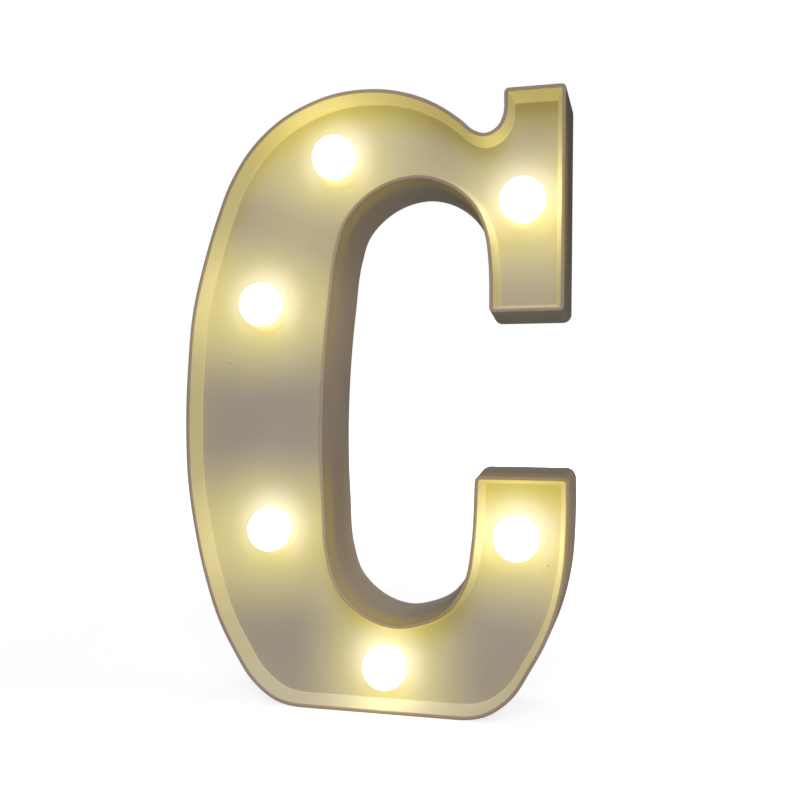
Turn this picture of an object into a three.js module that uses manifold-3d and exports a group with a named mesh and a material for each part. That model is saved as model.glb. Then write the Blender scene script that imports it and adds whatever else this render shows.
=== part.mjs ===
// A light-up capital letter C: a moulded slab-serif shell with a recessed face, six frosted globes with an
// LED behind each, and a flat back cover with a battery bay, a slide switch and two keyhole slots.
// Millimetres. X runs to the right as the letter is read, Y from front to back, Z up from the flat base.
import * as THREE from 'three';
import { mergeVertices } from 'three/addons/utils/BufferGeometryUtils.js';
import Module from 'manifold-3d';

const wasm = await Module();
wasm.setup();

// Driving dimensions
const letter_height = 220;
const letter_width = 139.5;
const shell_depth = 29;
const wall_flare = 1.5; // how far the outer wall has spread by the time it reaches the back edge
const rim_width = 1.2;
const rim_round = 0.35;
const recess_draft = 1.6;
const floor_thickness = 1.6;
const wall_thickness = 2;
const cover_thickness = 1.8;
const cover_inset = 1.2; // the cover's outer face lies this far inside the back edge
const globe_radius = 7.9;
const bay_floor = 1.2;
const lid_thickness = 1.6;
const cell_radius = 7.25;
const cell_length = 50.5;
const wire_radius = 0.65;

// Clearances and small values that several pieces share
const fit_gap = 0.3;
const solder_gap = 0.2;
const bay_room = 0.4; // between the shell's floor and the battery bay
const overrun = 1; // how far a cutting tool runs past the face it cuts
const weld = 0.5; // how far a rib or boss runs into the wall that carries it
const merge_distance = 1e-4;
const smallest_corner = 0.4;

// How finely curves are cut into flats
const outline_step = 10; // the longest flat of the outline
const outline_turn = Math.PI / 14; // the most that the outline turns from one flat to the next
const corner_steps = 3;
const arc_segments = 4;
const round_sides = 18;
const small_sides = 8;

// Depths that the pieces share, measured back from the rim. The recess gets what the lid, the cells, the bay
// and the floor leave of the shell's depth.
const cover_outer = shell_depth - cover_inset;
const cover_inner = cover_outer - cover_thickness;
const lid_inner = cover_outer - lid_thickness;
const cell_depth = lid_inner - solder_gap - cell_radius;
const bay_front = cell_depth - cell_radius - fit_gap - bay_floor;
const floor_back = bay_front - bay_room;
const recess_depth = floor_back - floor_thickness;
const ledge_width = 0.9; // the step inside the shell's back edge that the cover lies on
const flareAt = (y) => (wall_flare * y) / shell_depth;

// The front outline as shares of the letter's width and height, anticlockwise as the letter is read.
// A curve is a list of knots that a smooth line runs through; a corner has one point and a radius.
const bowl_shares = [
  [0.719, 0], [0.793, 0.0072], [0.857, 0.0358], [0.908, 0.0854], [0.947, 0.1328], [0.976, 0.1878],
  [0.9915, 0.2392], [0.998, 0.295], [1, 0.34],
];
const counter_shares = [
  [0.769, 0.344], [0.762, 0.273], [0.745, 0.217], [0.695, 0.169], [0.625, 0.1475], [0.571, 0.142],
  [0.522, 0.148], [0.4725, 0.1645], [0.421, 0.1985], [0.395, 0.248], [0.3845, 0.331], [0.379, 0.438],
  [0.385, 0.554], [0.4, 0.657], [0.419, 0.744], [0.4415, 0.787], [0.489, 0.821], [0.554, 0.844],
  [0.629, 0.851], [0.712, 0.834], [0.771, 0.798], [0.7955, 0.76], [0.805, 0.715], [0.807, 0.6795],
];
const arch_shares = [
  [0.844, 0.959], [0.8405, 0.9415], [0.826, 0.925], [0.799, 0.9165], [0.773, 0.9205], [0.737, 0.94],
  [0.685, 0.964], [0.621, 0.984], [0.5535, 0.996], [0.476, 1], [0.4055, 0.996], [0.335, 0.983],
  [0.2615, 0.9598], [0.179, 0.9137], [0.127, 0.864], [0.086, 0.801], [0.051, 0.731], [0.0205, 0.652],
  [0.005, 0.554], [0, 0.4515], [0.0063, 0.362], [0.026, 0.2825], [0.058, 0.199], [0.0945, 0.1337],
  [0.138, 0.083], [0.1876, 0.038], [0.254, 0.0076], [0.3315, 0],
];
const terminal_corner_radius = 2.2;
const serif_corner_radius = 1.6;
const front_path = [
  { curve_shares: bowl_shares },
  { corner_share: [1, 0.3818], radius: terminal_corner_radius },
  { corner_share: [0.771, 0.3818], radius: terminal_corner_radius },
  { curve_shares: counter_shares },
  { corner_share: [0.807, 0.636], radius: serif_corner_radius },
  { corner_share: [0.988, 0.636], radius: serif_corner_radius },
  { corner_share: [0.9935, 0.984], radius: serif_corner_radius },
  { corner_share: [0.844, 0.984], radius: serif_corner_radius },
  { curve_shares: arch_shares },
];

const at = ([x_share, z_share]) => new THREE.Vector2(x_share * letter_width, z_share * letter_height);
const outward = (direction) => new THREE.Vector2(direction.y, -direction.x);
const between = (a, b) => b.clone().sub(a).normalize();

// A smooth curve through the knots, with the straight neighbours' directions at its two ends
function curveStations(knots, before, after) {
  const tangents = knots.map((knot, i) => {
    if (i === 0) return between(before, knot);
    if (i === knots.length - 1) return between(knot, after);
    const back = knot.distanceTo(knots[i - 1]);
    const ahead = knot.distanceTo(knots[i + 1]);
    const tangent = between(knots[i - 1], knot).multiplyScalar(ahead);
    return tangent.addScaledVector(between(knot, knots[i + 1]), back).normalize();
  });
  const stations = [];
  for (let i = 0; i + 1 < knots.length; i++) {
    const chord = knots[i].distanceTo(knots[i + 1]);
    const handle = chord / 3;
    const curve = new THREE.CubicBezierCurve(
      knots[i],
      knots[i].clone().addScaledVector(tangents[i], handle),
      knots[i + 1].clone().addScaledVector(tangents[i + 1], -handle),
      knots[i + 1],
    );
    const turn = Math.acos(THREE.MathUtils.clamp(tangents[i].dot(tangents[i + 1]), -1, 1));
    const steps = Math.max(Math.ceil(chord / outline_step), Math.ceil(turn / outline_turn));
    for (let k = i === 0 ? 0 : 1; k <= steps; k++) {
      stations.push({ point: curve.getPoint(k / steps), normal: outward(curve.getTangent(k / steps)) });
    }
  }
  return stations;
}

function outlineStations(path) {
  const first = (piece) => at(piece.corner_share ?? piece.curve_shares[0]);
  const last = (piece) => at(piece.corner_share ?? piece.curve_shares.at(-1));
  return path.flatMap((piece, i) => {
    const before = last(path[(i + path.length - 1) % path.length]);
    const after = first(path[(i + 1) % path.length]);
    if (piece.curve_shares) return curveStations(piece.curve_shares.map(at), before, after);
    const point = at(piece.corner_share);
    return [{ point, enter: between(before, point), leave: between(point, after), radius: piece.radius }];
  });
}

const front_stations = outlineStations(front_path);

// The outline moved outward by offset, never lower than base, with the same number of points every time
function outlineRing(offset, base = 0) {
  const points = front_stations.flatMap((station) => {
    if (station.normal) return [station.point.clone().addScaledVector(station.normal, offset)];
    const { point, enter, leave } = station;
    const a = outward(enter);
    const b = outward(leave);
    const mitre = a.clone().add(b).divideScalar(1 + a.dot(b));
    const tip = point.clone().addScaledVector(mitre, offset);
    const radius = Math.max(station.radius + offset, smallest_corner);
    const turn = Math.acos(THREE.MathUtils.clamp(enter.dot(leave), -1, 1));
    const setback = radius * Math.tan(turn / 2);
    const centre = tip.clone().addScaledVector(enter, -setback).addScaledVector(a, -radius);
    const start = Math.atan2(a.y, a.x);
    return Array.from({ length: corner_steps + 1 }, (_, k) => {
      const angle = start + (turn * k) / corner_steps;
      return centre.clone().add(new THREE.Vector2(Math.cos(angle), Math.sin(angle)).multiplyScalar(radius));
    });
  });
  return points.map((point) => new THREE.Vector2(point.x, Math.max(point.y, base)));
}

// A closed skin over rings that all have the same number of points, capped at both ends
function loft(rings) {
  const count = rings[0].points.length;
  const position = rings.flatMap(({ points, y }) => points.flatMap((point) => [point.x, y, point.y]));
  const index = [];
  for (let r = 0; r + 1 < rings.length; r++) {
    for (let i = 0; i < count; i++) {
      const a = r * count + i;
      const b = r * count + ((i + 1) % count);
      index.push(a, b, a + count, b, b + count, a + count);
    }
  }
  const top = (rings.length - 1) * count;
  for (const [a, b, c] of THREE.ShapeUtils.triangulateShape(rings[0].points, [])) index.push(a, c, b);
  for (const [a, b, c] of THREE.ShapeUtils.triangulateShape(rings.at(-1).points, [])) {
    index.push(top + a, top + b, top + c);
  }
  const geometry = new THREE.BufferGeometry();
  geometry.setAttribute('position', new THREE.Float32BufferAttribute(position, 3));
  geometry.setIndex(index);
  return geometry;
}

function solidOf(geometry) {
  const bare = geometry.clone();
  bare.deleteAttribute('normal');
  bare.deleteAttribute('uv');
  const merged = mergeVertices(bare, merge_distance);
  const mesh = new wasm.Mesh({
    numProp: 3,
    vertProperties: new Float32Array(merged.attributes.position.array),
    triVerts: new Uint32Array(merged.index.array),
  });
  const solid = new wasm.Manifold(mesh);
  if (solid.volume() > 0) return solid;
  mesh.triVerts = mesh.triVerts.map((_, i, all) => all[i - (i % 3) + 2 - (i % 3)]);
  return new wasm.Manifold(mesh);
}

function geometryOf(solid) {
  const mesh = solid.getMesh();
  const geometry = new THREE.BufferGeometry();
  geometry.setAttribute('position', new THREE.Float32BufferAttribute(mesh.vertProperties, 3));
  geometry.setIndex([...mesh.triVerts]);
  geometry.computeVertexNormals();
  return geometry;
}

const joined = (solids) => solids.reduce((whole, piece) => whole.add(piece));
const cut = (solid, tools) => tools.reduce((whole, tool) => whole.subtract(tool), solid);

// A block between two opposite corners
function block(low, high) {
  const size = high.map((value, i) => value - low[i]);
  const geometry = new THREE.BoxGeometry(...size);
  geometry.translate(...low.map((value, i) => value + size[i] / 2));
  return solidOf(geometry);
}

// A round bar along Y
function bar(radius, from, to, x, z, sides = round_sides) {
  const geometry = new THREE.CylinderGeometry(radius, radius, to - from, sides);
  geometry.translate(x, (from + to) / 2, z);
  return solidOf(geometry);
}

// A flat shape drawn in X and Z, made solid between two depths
function slab(shape, from, to) {
  const settings = { depth: to - from, bevelEnabled: false, curveSegments: arc_segments };
  const geometry = new THREE.ExtrudeGeometry(shape, settings);
  geometry.rotateX(Math.PI / 2);
  geometry.translate(0, to, 0);
  return solidOf(geometry);
}

function roundedShape(left, bottom, right, top, radius) {
  const shape = new THREE.Shape();
  shape.moveTo(left + radius, bottom);
  shape.lineTo(right - radius, bottom);
  shape.absarc(right - radius, bottom + radius, radius, -Math.PI / 2, 0);
  shape.lineTo(right, top - radius);
  shape.absarc(right - radius, top - radius, radius, 0, Math.PI / 2);
  shape.lineTo(left + radius, top);
  shape.absarc(left + radius, top - radius, radius, Math.PI / 2, Math.PI);
  shape.lineTo(left, bottom + radius);
  shape.absarc(left + radius, bottom + radius, radius, Math.PI, Math.PI * 1.5);
  return shape;
}

// A turned piece about Y from a profile of radius and depth
function turned(profile, sides = round_sides) {
  return new THREE.LatheGeometry(profile.map(([radius, y]) => new THREE.Vector2(radius, y)), sides);
}

function arcProfile(radius, centre, from, to, steps) {
  return Array.from({ length: steps + 1 }, (_, k) => {
    const angle = from + ((to - from) * k) / steps;
    return [radius * Math.cos(angle), centre - radius * Math.sin(angle)];
  });
}

// The battery bay, a tub moulded into the cover, lies in the long stroke between the stroke's two walls
const bay = { z_share: 0.4636, wall: 1.5, side_gap: 0.35, end_gap: 0.4, ledge: 0.9, left_room_share: 0.07 };
const stroke_side_shares = [0.012, 0.379];
const cell = { pitch: 15, nub_radius: 2.75, nub_height: 1.2, edge: 0.6 };
const spring_length = 6;
const plate = { thickness: 0.4, width: 9, height: 11, tail_width: 2, tail_length: 1.5 };
const stroke_left = stroke_side_shares[0] * letter_width + wall_thickness - flareAt(bay_front);
const stroke_right = stroke_side_shares[1] * letter_width - wall_thickness + flareAt(bay_front);
const bay_width = cell.pitch + 2 * (cell_radius + bay.side_gap);
const bay_length = cell_length + spring_length + 2 * plate.thickness + bay.end_gap;
const side_room = stroke_right - stroke_left - bay_width - 2 * bay.wall;
const bay_left = stroke_left + bay.left_room_share * side_room + bay.wall;
const bay_right = bay_left + bay_width;
const bay_centre = new THREE.Vector2((bay_left + bay_right) / 2, bay.z_share * letter_height);
const bay_bottom = bay_centre.y - bay_length / 2;
const bay_top = bay_centre.y + bay_length / 2;

// The LED boards stand on round collars behind the floor
const collar = { outer_radius: 8.2, inner_radius: 7, height: 5 };

// Where the lamps stand, from the upper serif round the stroke to the lower terminal. The two on the long
// stroke keep their distance from the battery bay between them.
const serif_lamp_share = [0.887, 0.812];
const arch_lamp_share = [0.403, 0.897];
const stroke_lamp_x_shares = [0.202, 0.227];
const stroke_lamp_room = [4.6, 0.6];
const bottom_lamp_share = [0.538, 0.07];
const terminal_lamp_share = [0.871, 0.284];
const lamps = [
  at(serif_lamp_share),
  at(arch_lamp_share),
  new THREE.Vector2(
    stroke_lamp_x_shares[0] * letter_width,
    bay_top + bay.wall + stroke_lamp_room[0] + collar.outer_radius,
  ),
  new THREE.Vector2(
    stroke_lamp_x_shares[1] * letter_width,
    bay_bottom - bay.wall - stroke_lamp_room[1] - collar.outer_radius,
  ),
  at(bottom_lamp_share),
  at(terminal_lamp_share),
];

// Where the case screws go
const screw_shares = [
  [0.911, 0.934], [0.531, 0.951], [0.925, 0.676], [0.135, 0.795], [0.158, 0.155], [0.803, 0.059],
  [0.892, 0.35],
];
const screws = screw_shares.map(at);
const screw = { radius: 1.1, reach: 9, head_radius: 2.3, head_height: 1.4, tip: 1.2, slot: 0.7,
  slot_depth: 0.7 };
const boss_radius = 3;
const counterbore_depth = 1;
const counterbore_floor = cover_outer - counterbore_depth;

// The frosted globes: a truncated ball that sits on the recessed floor and snaps in behind it
const globe = { wall: 1, centre_height: 4.6, neck_radius: 5.2, lip: 0.55, lip_height: 1.2, steps: 6,
  hollow_steps: 4 };
const neck_hole_radius = globe.neck_radius + fit_gap;
const globe_centre = recess_depth - globe.centre_height;

function globeCap() {
  const foot = -Math.asin(globe.centre_height / globe_radius);
  const inner_radius = globe_radius - globe.wall;
  const inner_neck = globe.neck_radius - globe.wall;
  const inner_foot = -Math.acos(inner_neck / inner_radius);
  const lip_front = floor_back + fit_gap;
  const end = lip_front + globe.lip_height;
  const outside = arcProfile(globe_radius, globe_centre, Math.PI / 2, foot, globe.steps);
  const inside = arcProfile(inner_radius, globe_centre, inner_foot, Math.PI / 2, globe.hollow_steps);
  return turned([
    ...outside.with(0, [0, globe_centre - globe_radius]),
    [globe.neck_radius, recess_depth],
    [globe.neck_radius, lip_front],
    [globe.neck_radius + globe.lip, lip_front],
    [globe.neck_radius, end],
    [inner_neck, end],
    ...inside.with(-1, [0, globe_centre - inner_radius]),
  ]);
}

// A round board with one LED closes each collar
const board = { radius: 7.8, thickness: 1 };
const board_front = floor_back + collar.height;
const board_back = board_front + board.thickness;
const led = { radius: 2.5, flange_radius: 2.9, flange: 1, length: 8.6, steps: 3 };

function ledBody() {
  const shoulder = board_front - led.length + led.radius;
  return turned([
    ...arcProfile(led.radius, shoulder, Math.PI / 2, 0, led.steps).with(0, [0, shoulder - led.radius]),
    [led.radius, board_front - led.flange],
    [led.flange_radius, board_front - led.flange],
    [led.flange_radius, board_front],
    [0, board_front],
  ], small_sides);
}

function frontShell() {
  const lip = wall_thickness - ledge_width;
  const rings = [
    { points: outlineRing(-rim_width - recess_draft), y: recess_depth },
    { points: outlineRing(-rim_width), y: rim_round },
    { points: outlineRing(rim_round - rim_width), y: 0 },
    { points: outlineRing(-rim_round), y: 0 },
    { points: outlineRing(flareAt(rim_round)), y: rim_round },
    { points: outlineRing(wall_flare), y: shell_depth },
    { points: outlineRing(wall_flare - lip, lip), y: shell_depth },
    { points: outlineRing(flareAt(cover_inner) - lip, lip), y: cover_inner },
    { points: outlineRing(flareAt(cover_inner) - wall_thickness, wall_thickness), y: cover_inner },
    { points: outlineRing(flareAt(floor_back) - wall_thickness, wall_thickness), y: floor_back },
  ];
  const bosses = screws.map(({ x, y }) => (
    bar(boss_radius, floor_back - weld, cover_inner, x, y, small_sides)
  ));
  const collars = lamps.map(({ x, y }) => {
    const outside = bar(collar.outer_radius, floor_back - weld, board_front, x, y);
    return outside.subtract(bar(collar.inner_radius, floor_back - overrun, board_front + overrun, x, y));
  });
  const holes = lamps.map(({ x, y }) => (
    bar(neck_hole_radius, recess_depth - overrun, floor_back + overrun, x, y)
  ));
  const pilots = screws.map(({ x, y }) => (
    bar(screw.radius + fit_gap, cover_inner - screw.reach, cover_inner + overrun, x, y, small_sides)
  ));
  return cut(joined([solidOf(loft(rings)), ...bosses, ...collars]), [...holes, ...pilots]);
}

// Two cells side by side, the left one with its nub up
const cells = [-1, 1].map((side) => ({
  x: bay_centre.x + (side * cell.pitch) / 2,
  nub_up: side < 0,
  bottom: side < 0 ? bay_top - plate.thickness - cell_length : bay_bottom + plate.thickness,
}));

// The lid is let into the bay's mouth
const lid = { corner: 1.5, hook_width: 2.4, hook_thickness: 1, hook_reach: 1.9, hook_neck: 1.2,
  hook_inset: 0.4, tongue_width: 12, tongue_length: 9, slit: 0.7, ridge: 0.4, ridge_width: 0.8,
  ridge_pitch: 1.6 };
const lid_left = bay_left - bay.ledge + fit_gap;
const lid_right = bay_right + bay.ledge - fit_gap;
const lid_bottom = bay_bottom - bay.ledge + fit_gap;
const lid_top = bay_top + bay.ledge - fit_gap;
const tail_depth = cell_depth - plate.height / 2;
const hook_depth = cover_inner - fit_gap;
const hook_swing = Math.hypot(lid.hook_reach, lid.hook_thickness + fit_gap) + fit_gap;

const slide = { length: 14, height: 6.4, depth: 5, wall: 1.2, knob_width: 3, knob_height: 2.8, travel: 3,
  knob_stand: 1, grip: 0.3, x_share: 0.322, z_share: 0.782, pin_pitch: 3,
  pin_width: 0.8, pin_thickness: 0.4, pin_reach: 3 };
const slide_centre = at([slide.x_share, slide.z_share]);
const slide_front = cover_inner - slide.depth;

const keyhole = { head_radius: 4.4, slot_width: 4.6, rise: 7.5, z_share: 0.886 };
const keyhole_shares = [0.264, 0.652];
const keyholes = keyhole_shares.map((x_share) => at([x_share, keyhole.z_share]));

function keyholeTool({ x, y }) {
  const half = keyhole.slot_width / 2;
  const shape = new THREE.Shape();
  const join = Math.asin(half / keyhole.head_radius);
  shape.absarc(x, y, keyhole.head_radius, Math.PI / 2 + join, Math.PI * 2.5 - join);
  shape.lineTo(x + half, y + keyhole.rise);
  shape.absarc(x, y + keyhole.rise, half, 0, Math.PI);
  return slab(shape, cover_inner - overrun, cover_outer + overrun);
}

function hookSpans() {
  const left = bay_left + lid.hook_inset;
  const right = bay_right - lid.hook_inset;
  return [[left, left + lid.hook_width], [right - lid.hook_width, right]];
}

function backCover() {
  const inset = wall_thickness - ledge_width + fit_gap;
  const rings = [
    { points: outlineRing(flareAt(cover_inner) - inset, inset), y: cover_inner },
    { points: outlineRing(flareAt(cover_outer) - inset, inset), y: cover_outer },
  ];
  const tub = block(
    [bay_left - bay.wall, bay_front, bay_bottom - bay.wall],
    [bay_right + bay.wall, cover_inner + weld, bay_top + bay.wall],
  );
  const cavity = block(
    [bay_left, bay_front + bay_floor, bay_bottom],
    [bay_right, cover_outer + overrun, bay_top],
  );
  const mouth_shape = roundedShape(
    bay_left - bay.ledge, bay_bottom - bay.ledge, bay_right + bay.ledge, bay_top + bay.ledge, lid.corner,
  );
  const mouth = slab(mouth_shape, lid_inner - solder_gap, cover_outer + overrun);
  const hook_slots = hookSpans().map(([left, right]) => block(
    [left - fit_gap, cover_inner - hook_swing, bay_top - overrun],
    [right + fit_gap, cover_inner, bay_top + bay.wall + overrun],
  ));
  const tail_reach = plate.tail_width / 2 + fit_gap;
  const tails = cells.map(({ x }) => block(
    [x - tail_reach, tail_depth - fit_gap, bay_top - overrun],
    [x + tail_reach, tail_depth + plate.thickness + fit_gap, bay_top + bay.wall + overrun],
  ));
  const reach = (slide.knob_width + slide.travel) / 2 + fit_gap;
  const window_x = slide_centre.x + slide.travel / 2;
  const window = block(
    [window_x - reach, cover_inner - overrun, slide_centre.y - slide.knob_height / 2 - fit_gap],
    [window_x + reach, cover_outer + overrun, slide_centre.y + slide.knob_height / 2 + fit_gap],
  );
  const screw_holes = screws.flatMap(({ x, y }) => [
    bar(screw.radius + fit_gap, cover_inner - overrun, cover_outer + overrun, x, y, small_sides),
    bar(screw.head_radius + fit_gap, counterbore_floor, cover_outer + overrun, x, y, small_sides),
  ]);
  return cut(
    joined([solidOf(loft(rings)), tub]),
    [cavity, mouth, ...hook_slots, ...tails, window, ...screw_holes, ...keyholes.map(keyholeTool)],
  );
}

// The lid: a plate with two hooks at its top edge, a spring tongue cut into its bottom edge and grip ridges
function batteryLid() {
  const outline = roundedShape(lid_left, lid_bottom, lid_right, lid_top, lid.corner);
  const body = slab(outline, lid_inner, cover_outer);
  const hooks = hookSpans().flatMap(([left, right]) => [
    block(
      [left, hook_depth - lid.hook_thickness, bay_top - lid.hook_neck - fit_gap],
      [right, lid_inner + weld, bay_top - fit_gap],
    ),
    block(
      [left, hook_depth - lid.hook_thickness, bay_top - lid.hook_neck - fit_gap],
      [right, hook_depth, lid_top + lid.hook_reach],
    ),
  ]);
  const middle = bay_centre.x;
  const half = lid.tongue_width / 2;
  const slits = [-1, 1].map((side) => block(
    [middle + side * half - lid.slit / 2, lid_inner - overrun, lid_bottom - overrun],
    [middle + side * half + lid.slit / 2, cover_outer + overrun, lid_bottom + lid.tongue_length],
  ));
  const ridge_reach = half - lid.ridge_pitch;
  const ridges = [1, 2, 3].map((step) => lid_bottom + step * lid.ridge_pitch).map((low) => block(
    [middle - ridge_reach, cover_outer - weld, low],
    [middle + ridge_reach, cover_outer + lid.ridge, low + lid.ridge_width],
  ));
  return cut(joined([body, ...hooks, ...ridges]), slits);
}

// A cell lies with its nub at one end and its flat steel end at the other
function batteryCell({ x, nub_up, bottom }) {
  const body_end = cell_length - cell.nub_height;
  const geometry = turned([
    [0, 0],
    [cell_radius - cell.edge, 0],
    [cell_radius, cell.edge],
    [cell_radius, body_end - cell.edge],
    [cell_radius - cell.edge, body_end],
    [cell.nub_radius, body_end],
    [cell.nub_radius, cell_length],
    [0, cell_length],
  ]);
  geometry.rotateX(nub_up ? Math.PI / 2 : -Math.PI / 2);
  geometry.translate(x, cell_depth, nub_up ? bottom : bottom + cell_length);
  return geometry;
}

// A cone spring between a contact plate and the flat end of its cell
const coil = { wire_radius: 0.35, small_radius: 2.2, large_radius: 4.4, curls: 4, steps: 8, sides: 5 };

function contactSpring(x, from, to) {
  const wire_room = coil.wire_radius + solder_gap / 2;
  const start = from + Math.sign(to - from) * wire_room;
  const rise = to - from - 2 * Math.sign(to - from) * wire_room;
  const count = coil.curls * coil.steps;
  const centres = Array.from({ length: count + 1 }, (_, k) => {
    const share = k / count;
    const angle = share * coil.curls * Math.PI * 2;
    const radius = THREE.MathUtils.lerp(coil.large_radius, coil.small_radius, share);
    const depth = cell_depth + radius * Math.sin(angle);
    return new THREE.Vector3(x + radius * Math.cos(angle), depth, start + rise * share);
  });
  return tubeThrough(centres, coil.wire_radius, coil.sides, (k) => {
    const angle = (k / coil.steps) * Math.PI * 2;
    return [new THREE.Vector3(Math.cos(angle), Math.sin(angle), 0), new THREE.Vector3(0, 0, 1)];
  });
}

// A closed round tube whose rings lie in the two directions that frameAt gives
function tubeThrough(centres, radius, sides, frameAt) {
  const position = [];
  centres.forEach((centre, k) => {
    const [first, second] = frameAt(k);
    for (let s = 0; s < sides; s++) {
      const angle = (s / sides) * Math.PI * 2;
      const point = centre.clone().addScaledVector(first, radius * Math.cos(angle));
      position.push(...point.addScaledVector(second, radius * Math.sin(angle)));
    }
  });
  const index = [];
  for (let k = 0; k + 1 < centres.length; k++) {
    for (let s = 0; s < sides; s++) {
      const a = k * sides + s;
      const b = k * sides + ((s + 1) % sides);
      index.push(a, b, a + sides, b, b + sides, a + sides);
    }
  }
  const last = (centres.length - 1) * sides;
  for (let s = 1; s + 1 < sides; s++) {
    index.push(0, s + 1, s, last, last + s, last + s + 1);
  }
  const geometry = new THREE.BufferGeometry();
  geometry.setAttribute('position', new THREE.Float32BufferAttribute(position, 3));
  geometry.setIndex(index);
  return geometryOf(solidOf(geometry));
}

// The least gap between one curl of a spring and the next, measured on the centre line's points
function leastCurlGap(length) {
  const rise = length - 2 * (coil.wire_radius + solder_gap / 2);
  const step = (coil.large_radius - coil.small_radius) / coil.curls;
  return Math.hypot(rise / coil.curls, step) - 2 * coil.wire_radius;
}

function contactPlate(centres, z, inward, tail) {
  const half = plate.width / 2;
  const low = Math.min(z, z + inward * plate.thickness);
  const body = block(
    [Math.min(...centres) - half, cell_depth - plate.height / 2, low],
    [Math.max(...centres) + half, cell_depth + plate.height / 2, low + plate.thickness],
  );
  if (!tail) return body;
  const tail_half = plate.tail_width / 2;
  const tail_end = bay_top + bay.wall + plate.tail_length;
  return body.add(block(
    [centres[0] - tail_half, tail_depth, low],
    [centres[0] + tail_half, tail_depth + plate.thickness, tail_end],
  ));
}

// The slide switch behind its window: a body with a slot, a knob that slides in it and three pins
function switchBody() {
  const { x, y } = slide_centre;
  const window_x = x + slide.travel / 2;
  const body = block(
    [window_x - slide.length / 2, slide_front, y - slide.height / 2],
    [window_x + slide.length / 2, cover_inner, y + slide.height / 2],
  );
  const reach = (slide.knob_width + slide.travel) / 2 + fit_gap;
  return body.subtract(block(
    [window_x - reach, slide_front + slide.wall, y - slide.knob_height / 2 - fit_gap],
    [window_x + reach, cover_inner + overrun, y + slide.knob_height / 2 + fit_gap],
  ));
}

function switchKnob() {
  const { x, y } = slide_centre;
  const top = cover_outer + slide.knob_stand;
  const half = slide.knob_width / 2;
  const body = block(
    [x - half, slide_front + slide.wall + fit_gap, y - slide.knob_height / 2],
    [x + half, top, y + slide.knob_height / 2],
  );
  const grooves = [-1, 0, 1].map((side) => {
    const centre = x + (side * slide.knob_width) / 3;
    return block(
      [centre - slide.grip / 2, top - slide.grip, y - slide.knob_height],
      [centre + slide.grip / 2, top + overrun, y + slide.knob_height],
    );
  });
  return cut(body, grooves);
}

function switchPin(side) {
  const x = slide_centre.x + slide.travel / 2 + side * slide.pin_pitch;
  const half = slide.pin_width / 2;
  return block(
    [x - half, slide_front - slide.pin_reach, slide_centre.y - slide.pin_thickness / 2],
    [x + half, slide_front, slide_centre.y + slide.pin_thickness / 2],
  );
}

function caseScrew({ x, y }) {
  const seat = counterbore_floor;
  const top = seat + screw.head_height;
  const end = cover_inner - screw.reach + fit_gap;
  const geometry = turned([
    [0, end], [screw.radius, end + screw.tip], [screw.radius, seat], [screw.head_radius, seat],
    [screw.head_radius, top - screw.slot_depth / 2], [screw.head_radius - screw.slot_depth, top], [0, top],
  ], small_sides);
  geometry.translate(x, 0, y);
  const arm = screw.head_radius - screw.slot;
  const cross = [[arm, screw.slot / 2], [screw.slot / 2, arm]].map(([across, up]) => block(
    [x - across, top - screw.slot_depth, y - up], [x + across, top + overrun, y + up],
  ));
  return cut(solidOf(geometry), cross);
}

// Wires: a red and a black run side by side from board to board, behind the floor and round the bay
const lane = { behind_boards: 4, lift: 2, pad_along: 2.6, pad_aside: 1.6, sides: 6, flat_length: 8,
  least_steps: 4 };
const lane_depth = board_back + lane.behind_boards;
const serif_via_shares = [[0.81, 0.86], [0.7, 0.9], [0.56, 0.918]];
const arch_via_shares = [[0.29, 0.85], [0.205, 0.77]];
const bottom_via_shares = [[0.27, 0.19], [0.38, 0.095]];
const terminal_via_shares = [[0.68, 0.085], [0.81, 0.15]];
const beside_bay = (bay_right + bay.wall + stroke_right) / 2;
const past_bay_top_offsets = [[-3, 8], [0, -3]];
const past_bay_bottom_offsets = [[0, 6], [-1.5, -2], [-5, -6.5]];
const vias = [
  serif_via_shares.map(at),
  arch_via_shares.map(at),
  [
    ...past_bay_top_offsets.map(([x, z]) => new THREE.Vector2(beside_bay + x, bay_top + z)),
    ...past_bay_bottom_offsets.map(([x, z]) => new THREE.Vector2(beside_bay + x, bay_bottom + z)),
  ],
  bottom_via_shares.map(at),
  terminal_via_shares.map(at),
];

function chainRoute() {
  const stops = lamps.flatMap((lamp, i) => [
    { spot: lamp, lamp: i },
    ...(vias[i] ?? []).map((spot) => ({ spot })),
  ]);
  return stops.map((stop, i) => {
    const before = stops[Math.max(i - 1, 0)].spot;
    const after = stops[Math.min(i + 1, stops.length - 1)].spot;
    const along = between(before, after);
    return { ...stop, along, aside: new THREE.Vector2(-along.y, along.x) };
  });
}

function wireThrough(points) {
  const curve = new THREE.CatmullRomCurve3(points, false, 'centripetal');
  const section = new THREE.Shape(Array.from({ length: lane.sides }, (_, k) => {
    const angle = (k / lane.sides) * Math.PI * 2;
    return new THREE.Vector2(wire_radius * Math.cos(angle), wire_radius * Math.sin(angle));
  }));
  const steps = Math.ceil(curve.getLength() / lane.flat_length) + lane.least_steps;
  return new THREE.ExtrudeGeometry(section, { steps, extrudePath: curve, bevelEnabled: false });
}

const deep = (spot, y) => new THREE.Vector3(spot.x, y, spot.y);

// One wire between two neighbouring boards, on one side of the route
function hopWire(route, from, to, side) {
  const aside = (stop) => stop.spot.clone().addScaledVector(stop.aside, side * lane.pad_aside);
  const start = aside(route[from]).addScaledVector(route[from].along, lane.pad_along);
  const end = aside(route[to]).addScaledVector(route[to].along, -lane.pad_along);
  const touch = board_back + solder_gap;
  return wireThrough([
    deep(start, touch), deep(start, touch + lane.lift),
    ...route.slice(from + 1, to).map((stop) => deep(aside(stop), lane_depth)),
    deep(end, touch + lane.lift), deep(end, touch),
  ]);
}

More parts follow.
